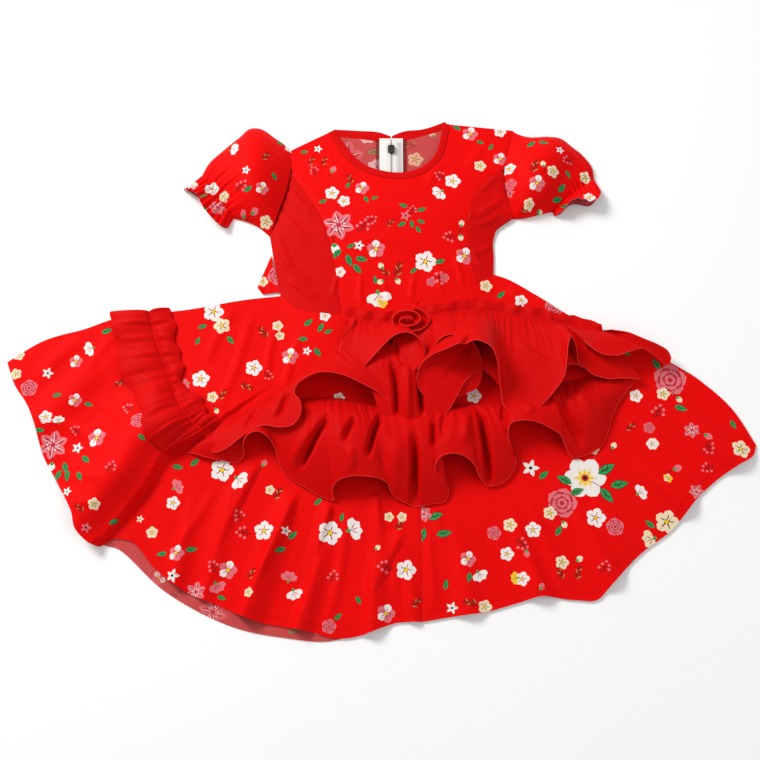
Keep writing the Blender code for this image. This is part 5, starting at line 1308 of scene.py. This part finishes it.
MIDDLE_HEM = (
    (0.00, 206, 446, 8), (0.02, 214, 452, 12), (0.05, 226, 448, 17), (0.07, 238, 439, 20), (0.09, 250, 430, 22),
    (0.11, 264, 425, 24), (0.13, 280, 427, 26), (0.15, 293, 424, 27), (0.17, 300, 414, 28), (0.18, 300, 401, 28),
    (0.19, 294, 392, 26), (0.20, 297, 384, 27), (0.24, 306, 377, 29), (0.29, 318, 372, 31), (0.33, 332, 372, 32),
    (0.37, 347, 376, 31), (0.41, 362, 383, 29), (0.44, 377, 391, 26), (0.46, 389, 401, 22), (0.47, 396, 413, 18),
    (0.48, 394, 424, 13), (0.49, 386, 430, 11), (0.51, 384, 434, 11), (0.54, 396, 434, 13), (0.57, 410, 435, 14),
    (0.60, 424, 431, 15), (0.63, 436, 425, 16), (0.66, 446, 414, 18), (0.69, 455, 399, 20), (0.71, 466, 380, 20),
    (0.73, 482, 370, 16), (0.75, 494, 378, 14), (0.78, 508, 396, 15), (0.82, 534, 400, 17), (0.86, 556, 384, 18),
    (0.89, 570, 364, 19), (0.92, 582, 366, 18), (0.94, 593, 374, 17), (0.96, 606, 378, 16), (0.98, 624, 378, 14),
    (1.00, 641, 379, 10))
LOWER_HEADING = (
    (0.00, 214, 436), (0.10, 244, 420), (0.22, 285, 402), (0.35, 330, 398), (0.48, 376, 404),
    (0.60, 430, 404), (0.70, 470, 404), (0.76, 492, 403), (0.84, 530, 392), (0.93, 580, 380), (1.00, 632, 374))
LOWER_HEM = (
    (0.00, 188, 452, 5), (0.02, 196, 454, 8), (0.04, 206, 457, 8), (0.06, 222, 460, 6), (0.07, 238, 462, 4),
    (0.08, 244, 454, 8), (0.09, 243, 444, 16), (0.11, 247, 435, 22), (0.13, 257, 431, 25), (0.15, 267, 436, 22),
    (0.17, 274, 446, 14), (0.19, 278, 458, 8), (0.21, 282, 470, 5), (0.24, 296, 482, 5), (0.27, 310, 490, 5),
    (0.30, 322, 497, 5), (0.33, 334, 500, 6), (0.34, 332, 491, 12), (0.36, 337, 481, 20), (0.38, 350, 476, 25),
    (0.41, 366, 476, 26), (0.43, 379, 478, 22), (0.44, 388, 484, 14), (0.46, 392, 494, 8), (0.49, 404, 502, 6),
    (0.52, 416, 506, 5), (0.55, 430, 504, 5), (0.58, 446, 500, 5), (0.60, 448, 488, 8), (0.605, 438, 477, 14),
    (0.61, 435, 466, 22), (0.62, 440, 457, 27), (0.64, 452, 453, 29), (0.66, 465, 456, 27), (0.68, 475, 465, 21),
    (0.69, 480, 477, 12), (0.71, 488, 485, 7), (0.73, 500, 484, 6), (0.74, 510, 476, 6), (0.76, 516, 462, 8),
    (0.77, 511, 447, 14), (0.78, 508, 434, 21), (0.79, 511, 423, 26), (0.81, 521, 420, 28), (0.84, 535, 421, 27),
    (0.86, 549, 427, 24), (0.88, 561, 435, 19), (0.89, 566, 447, 12), (0.90, 572, 457, 6), (0.92, 588, 454, 5),
    (0.94, 602, 445, 5), (0.95, 608, 431, 5), (0.96, 613, 414, 6), (0.98, 622, 397, 6), (1.00, 636, 380, 6))
UPPER_PLEATS = ((472, 345, 447, 378, 6, -7), (514, 343, 545, 367, 6, 3), (392, 340, 398, 366, 6, -4))
MIDDLE_PLEATS = (
    (392, 362, 398, 424, 4.5, -12), (406, 366, 409, 428, 6, 5), (419, 362, 422, 420, 4.5, -16),
    (345, 384, 358, 420, 8, 3),
    (262, 402, 245, 434, 6, -4), (289, 396, 277, 423, 5, -6))
LOWER_PLEATS = (
    (332, 414, 298, 470, 5, -12), (356, 418, 343, 448, 5, -8), (382, 408, 366, 464, 5, -13),
    (413, 432, 416, 520, 6, -18),
    (394, 436, 396, 500, 13, 4), (432, 422, 434, 452, 5, -8), (480, 402, 490, 488, 6, -18), (464, 408, 466, 450, 8, 5),
    (555, 396, 584, 448, 7, -8), (572, 384, 598, 430, 9, 3), (502, 402, 505, 424, 5, -7), (310, 430, 290, 470, 8, 4),
    (446, 408, 441, 446, 6, -5), (525, 404, 530, 418, 6, 3), (352, 450, 350, 476, 8, 4))
fine = np.linspace(0, 1, 25)
for name, heading, hem, size, header, pleats, bulge in (
        ("ruffle_lower", LOWER_HEADING, LOWER_HEM, (760, 95), 0, LOWER_PLEATS, 0.20),
        ("ruffle_middle", MIDDLE_HEADING, MIDDLE_HEM, (600, 95), 0, MIDDLE_PLEATS, 0.14),
        ("ruffle_upper", UPPER_HEADING, UPPER_HEM, (900, 95), 11, UPPER_PLEATS, 0.10)):
    steps = np.concatenate(((-header, -header * 0.6, -header * 0.25), fine)) if header else fine
    grid = gathered(heading, hem, steps, pleats, bulge)
    piece, cord = ruffle(name, grid, [grid[-1]])
    if header:
        stitches("heading_stitches", grid[3] + (0, 0, 0.35), 3.4, 2.2, 0.26, light_thread_and_highlight)
    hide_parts(name)
    flat_size(piece, size[0], size[1])


# The trim at the side: one wide strip of the same plain cloth with both edges turned under, gathered and
# stitched down along its middle, so that each half stands up as a soft roll with short puckers.
# columns: pixel across and down of the middle, of the left edge, of the right edge, height left, height right
SIDE_TRIM = (
    (150, 312, 112, 313, 168, 309, 9, 6), (153, 328, 114, 330, 174, 326, 10, 7), (159, 348, 118, 351, 180, 347, 9, 6),
    (166, 367, 122, 374, 181, 366, 10, 7), (172, 384, 133, 397, 185, 383, 11, 7), (178, 402, 143, 418, 196, 395, 10, 7),
    (188, 416, 148, 437, 205, 406, 11, 8), (197, 425, 160, 450, 212, 414, 9, 7), (203, 431, 174, 458, 217, 421, 5, 4))
rows = np.array([under_pixel(*row[0:2], under_ruffle) + under_pixel(*row[2:4], under_ruffle)
                 + under_pixel(*row[4:6], under_ruffle) + row[6:8] for row in SIDE_TRIM])
along = np.linspace(0, len(rows) - 1, 230)
line = curve(np.column_stack((np.arange(len(rows)), rows)), along)
wander = 2.2 * np.sin(along * 2.6) + 1.4 * np.sin(along * 6.1 + 1.0)
grid = []
for t in np.linspace(-1, 1, 41):
    edge = line[:, 2:4] if t < 0 else line[:, 4:6]
    flat = line[:, 0:2] + (edge - line[:, 0:2]) * abs(t)
    flat = flat + np.column_stack((np.sign(t) * wander * t * t, 0.5 * wander * t * t))
    roll = math.sin(math.pi * min(1, abs(t) * 0.96 + 0.01)) ** 0.55 * (1 - 0.25 * abs(t))
    pucker = (np.sin(along * 9.5 + 1.3 * np.sin(along * 2.0) + t * 1.5) + 0.6 * np.sin(along * 16 + 2.0)) / 1.6
    height = (line[:, 6] if t < 0 else line[:, 7]) * roll * (0.86 + 0.14 * np.sin(along * 3.4 + t * 2 + (t > 0)))
    height = height + 1.5 * pucker * roll * (1 - abs(t)) ** 0.7
    grid.append(np.column_stack((flat, under_ruffle(flat[:, 0], flat[:, 1]) + RUFFLE_CLEAR + height)))
grid = np.array(grid)
outward = facing(grid)
outward *= np.sign(outward[..., 2].mean())
faces = strip(grid)
ruffle_side = shell("ruffle_side", grid.reshape(-1, 3), outward.reshape(-1, 3), faces, [0] * len(faces),
                    [plain_red], RUFFLE_CLOTH)
middle_stitches = stitches("side_trim_stitches", grid[20] + (0, 0, 0.1), 3.0, 2.1, 0.22, light_thread_and_highlight)
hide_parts("ruffle_side")
flat_size(ruffle_side, 90, 250)


# The rosette: a strip of the plain red cloth coiled on itself and caught down at its foot where the
# upper ruffle meets the waist.
turn = np.linspace(0, 1, 200)
angle = turn * 2.1 * 2 * math.pi + 0.6
levels = np.linspace(0, 1, 12)
grid = np.zeros((len(levels), len(turn), 3))
reach = 3.0 + 20.0 * turn**0.85
for i, part in enumerate(levels):
    radius = reach * (0.55 + 0.45 * part**0.8) + 1.3 * np.sin(angle * 1.7 + 1.0) * part
    grid[i] = np.column_stack((radius * np.cos(angle), radius * np.sin(angle) * 0.62,
                               (13.0 + 1.5 * np.sin(angle * 1.3)) * (1.0 - 0.35 * turn) * part))
outward = facing(grid)
outward *= np.sign((outward[..., :2] * grid[..., :2]).sum())
lean = math.radians(-26.0)


def leaned(points, move=True):
    y, z = points[..., 1].copy(), points[..., 2].copy()
    placed = points.copy()
    placed[..., 0] += 27.0 if move else 0
    placed[..., 1] = (37.0 if move else 0) + y * math.cos(lean) + z * math.sin(lean)
    placed[..., 2] = (14.2 if move else 0) - y * math.sin(lean) * 0.5 + z * math.cos(lean)
    return placed


grid, outward = leaned(grid), leaned(outward, False)
outward /= np.linalg.norm(outward, axis=2)[..., None]
faces = strip(grid)
a, b, c = (grid.reshape(-1, 3)[[f[i] for f in faces]] for i in (0, 1, 3))
if (np.cross(b - a, c - a) * outward.reshape(-1, 3)[[f[0] for f in faces]]).sum() < 0:
    faces = [f[::-1] for f in faces]
rosette = shell("rosette", grid.reshape(-1, 3), outward.reshape(-1, 3), faces, [0] * len(faces), [plain_red], 0.9)
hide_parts("rosette")
# the rosette's hem cord has the same lighter thread, partly a painted highlight
rosette_hem = threads("rosette_hem", [tube(grid[-1], ROLL, 6)], light_thread_and_highlight)
flat_size(rosette, 200, 16)


# The waist tie: a short end of the printed cloth that shows beside the left side seam, part of a tie that
# is caught in the seam. It is folded flat and lies on the table.
corners = np.array(((-113.7, 112), (-127, 76), (-121, 69), (-104.2, 71)), float)
down, across = np.linspace(0, 1, 24)[:, None, None], np.linspace(0, 1, 20)[None, :, None]
start = corners[0] + (corners[3] - corners[0]) * across
end = corners[1] + (corners[2] - corners[1]) * across
plan = start + (end - start) * down
grid = np.dstack((plan, 2.2 + 0.5 * np.sin(plan[..., 0] * 0.7) * down[..., 0]))
waist_tie_left = printed("waist_tie_left", grid, strewn((-130, 66), (-100, 114), 18, 4), wall=1.2)
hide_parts("waist_tie_left")
flat_size(waist_tie_left, 45, 35)
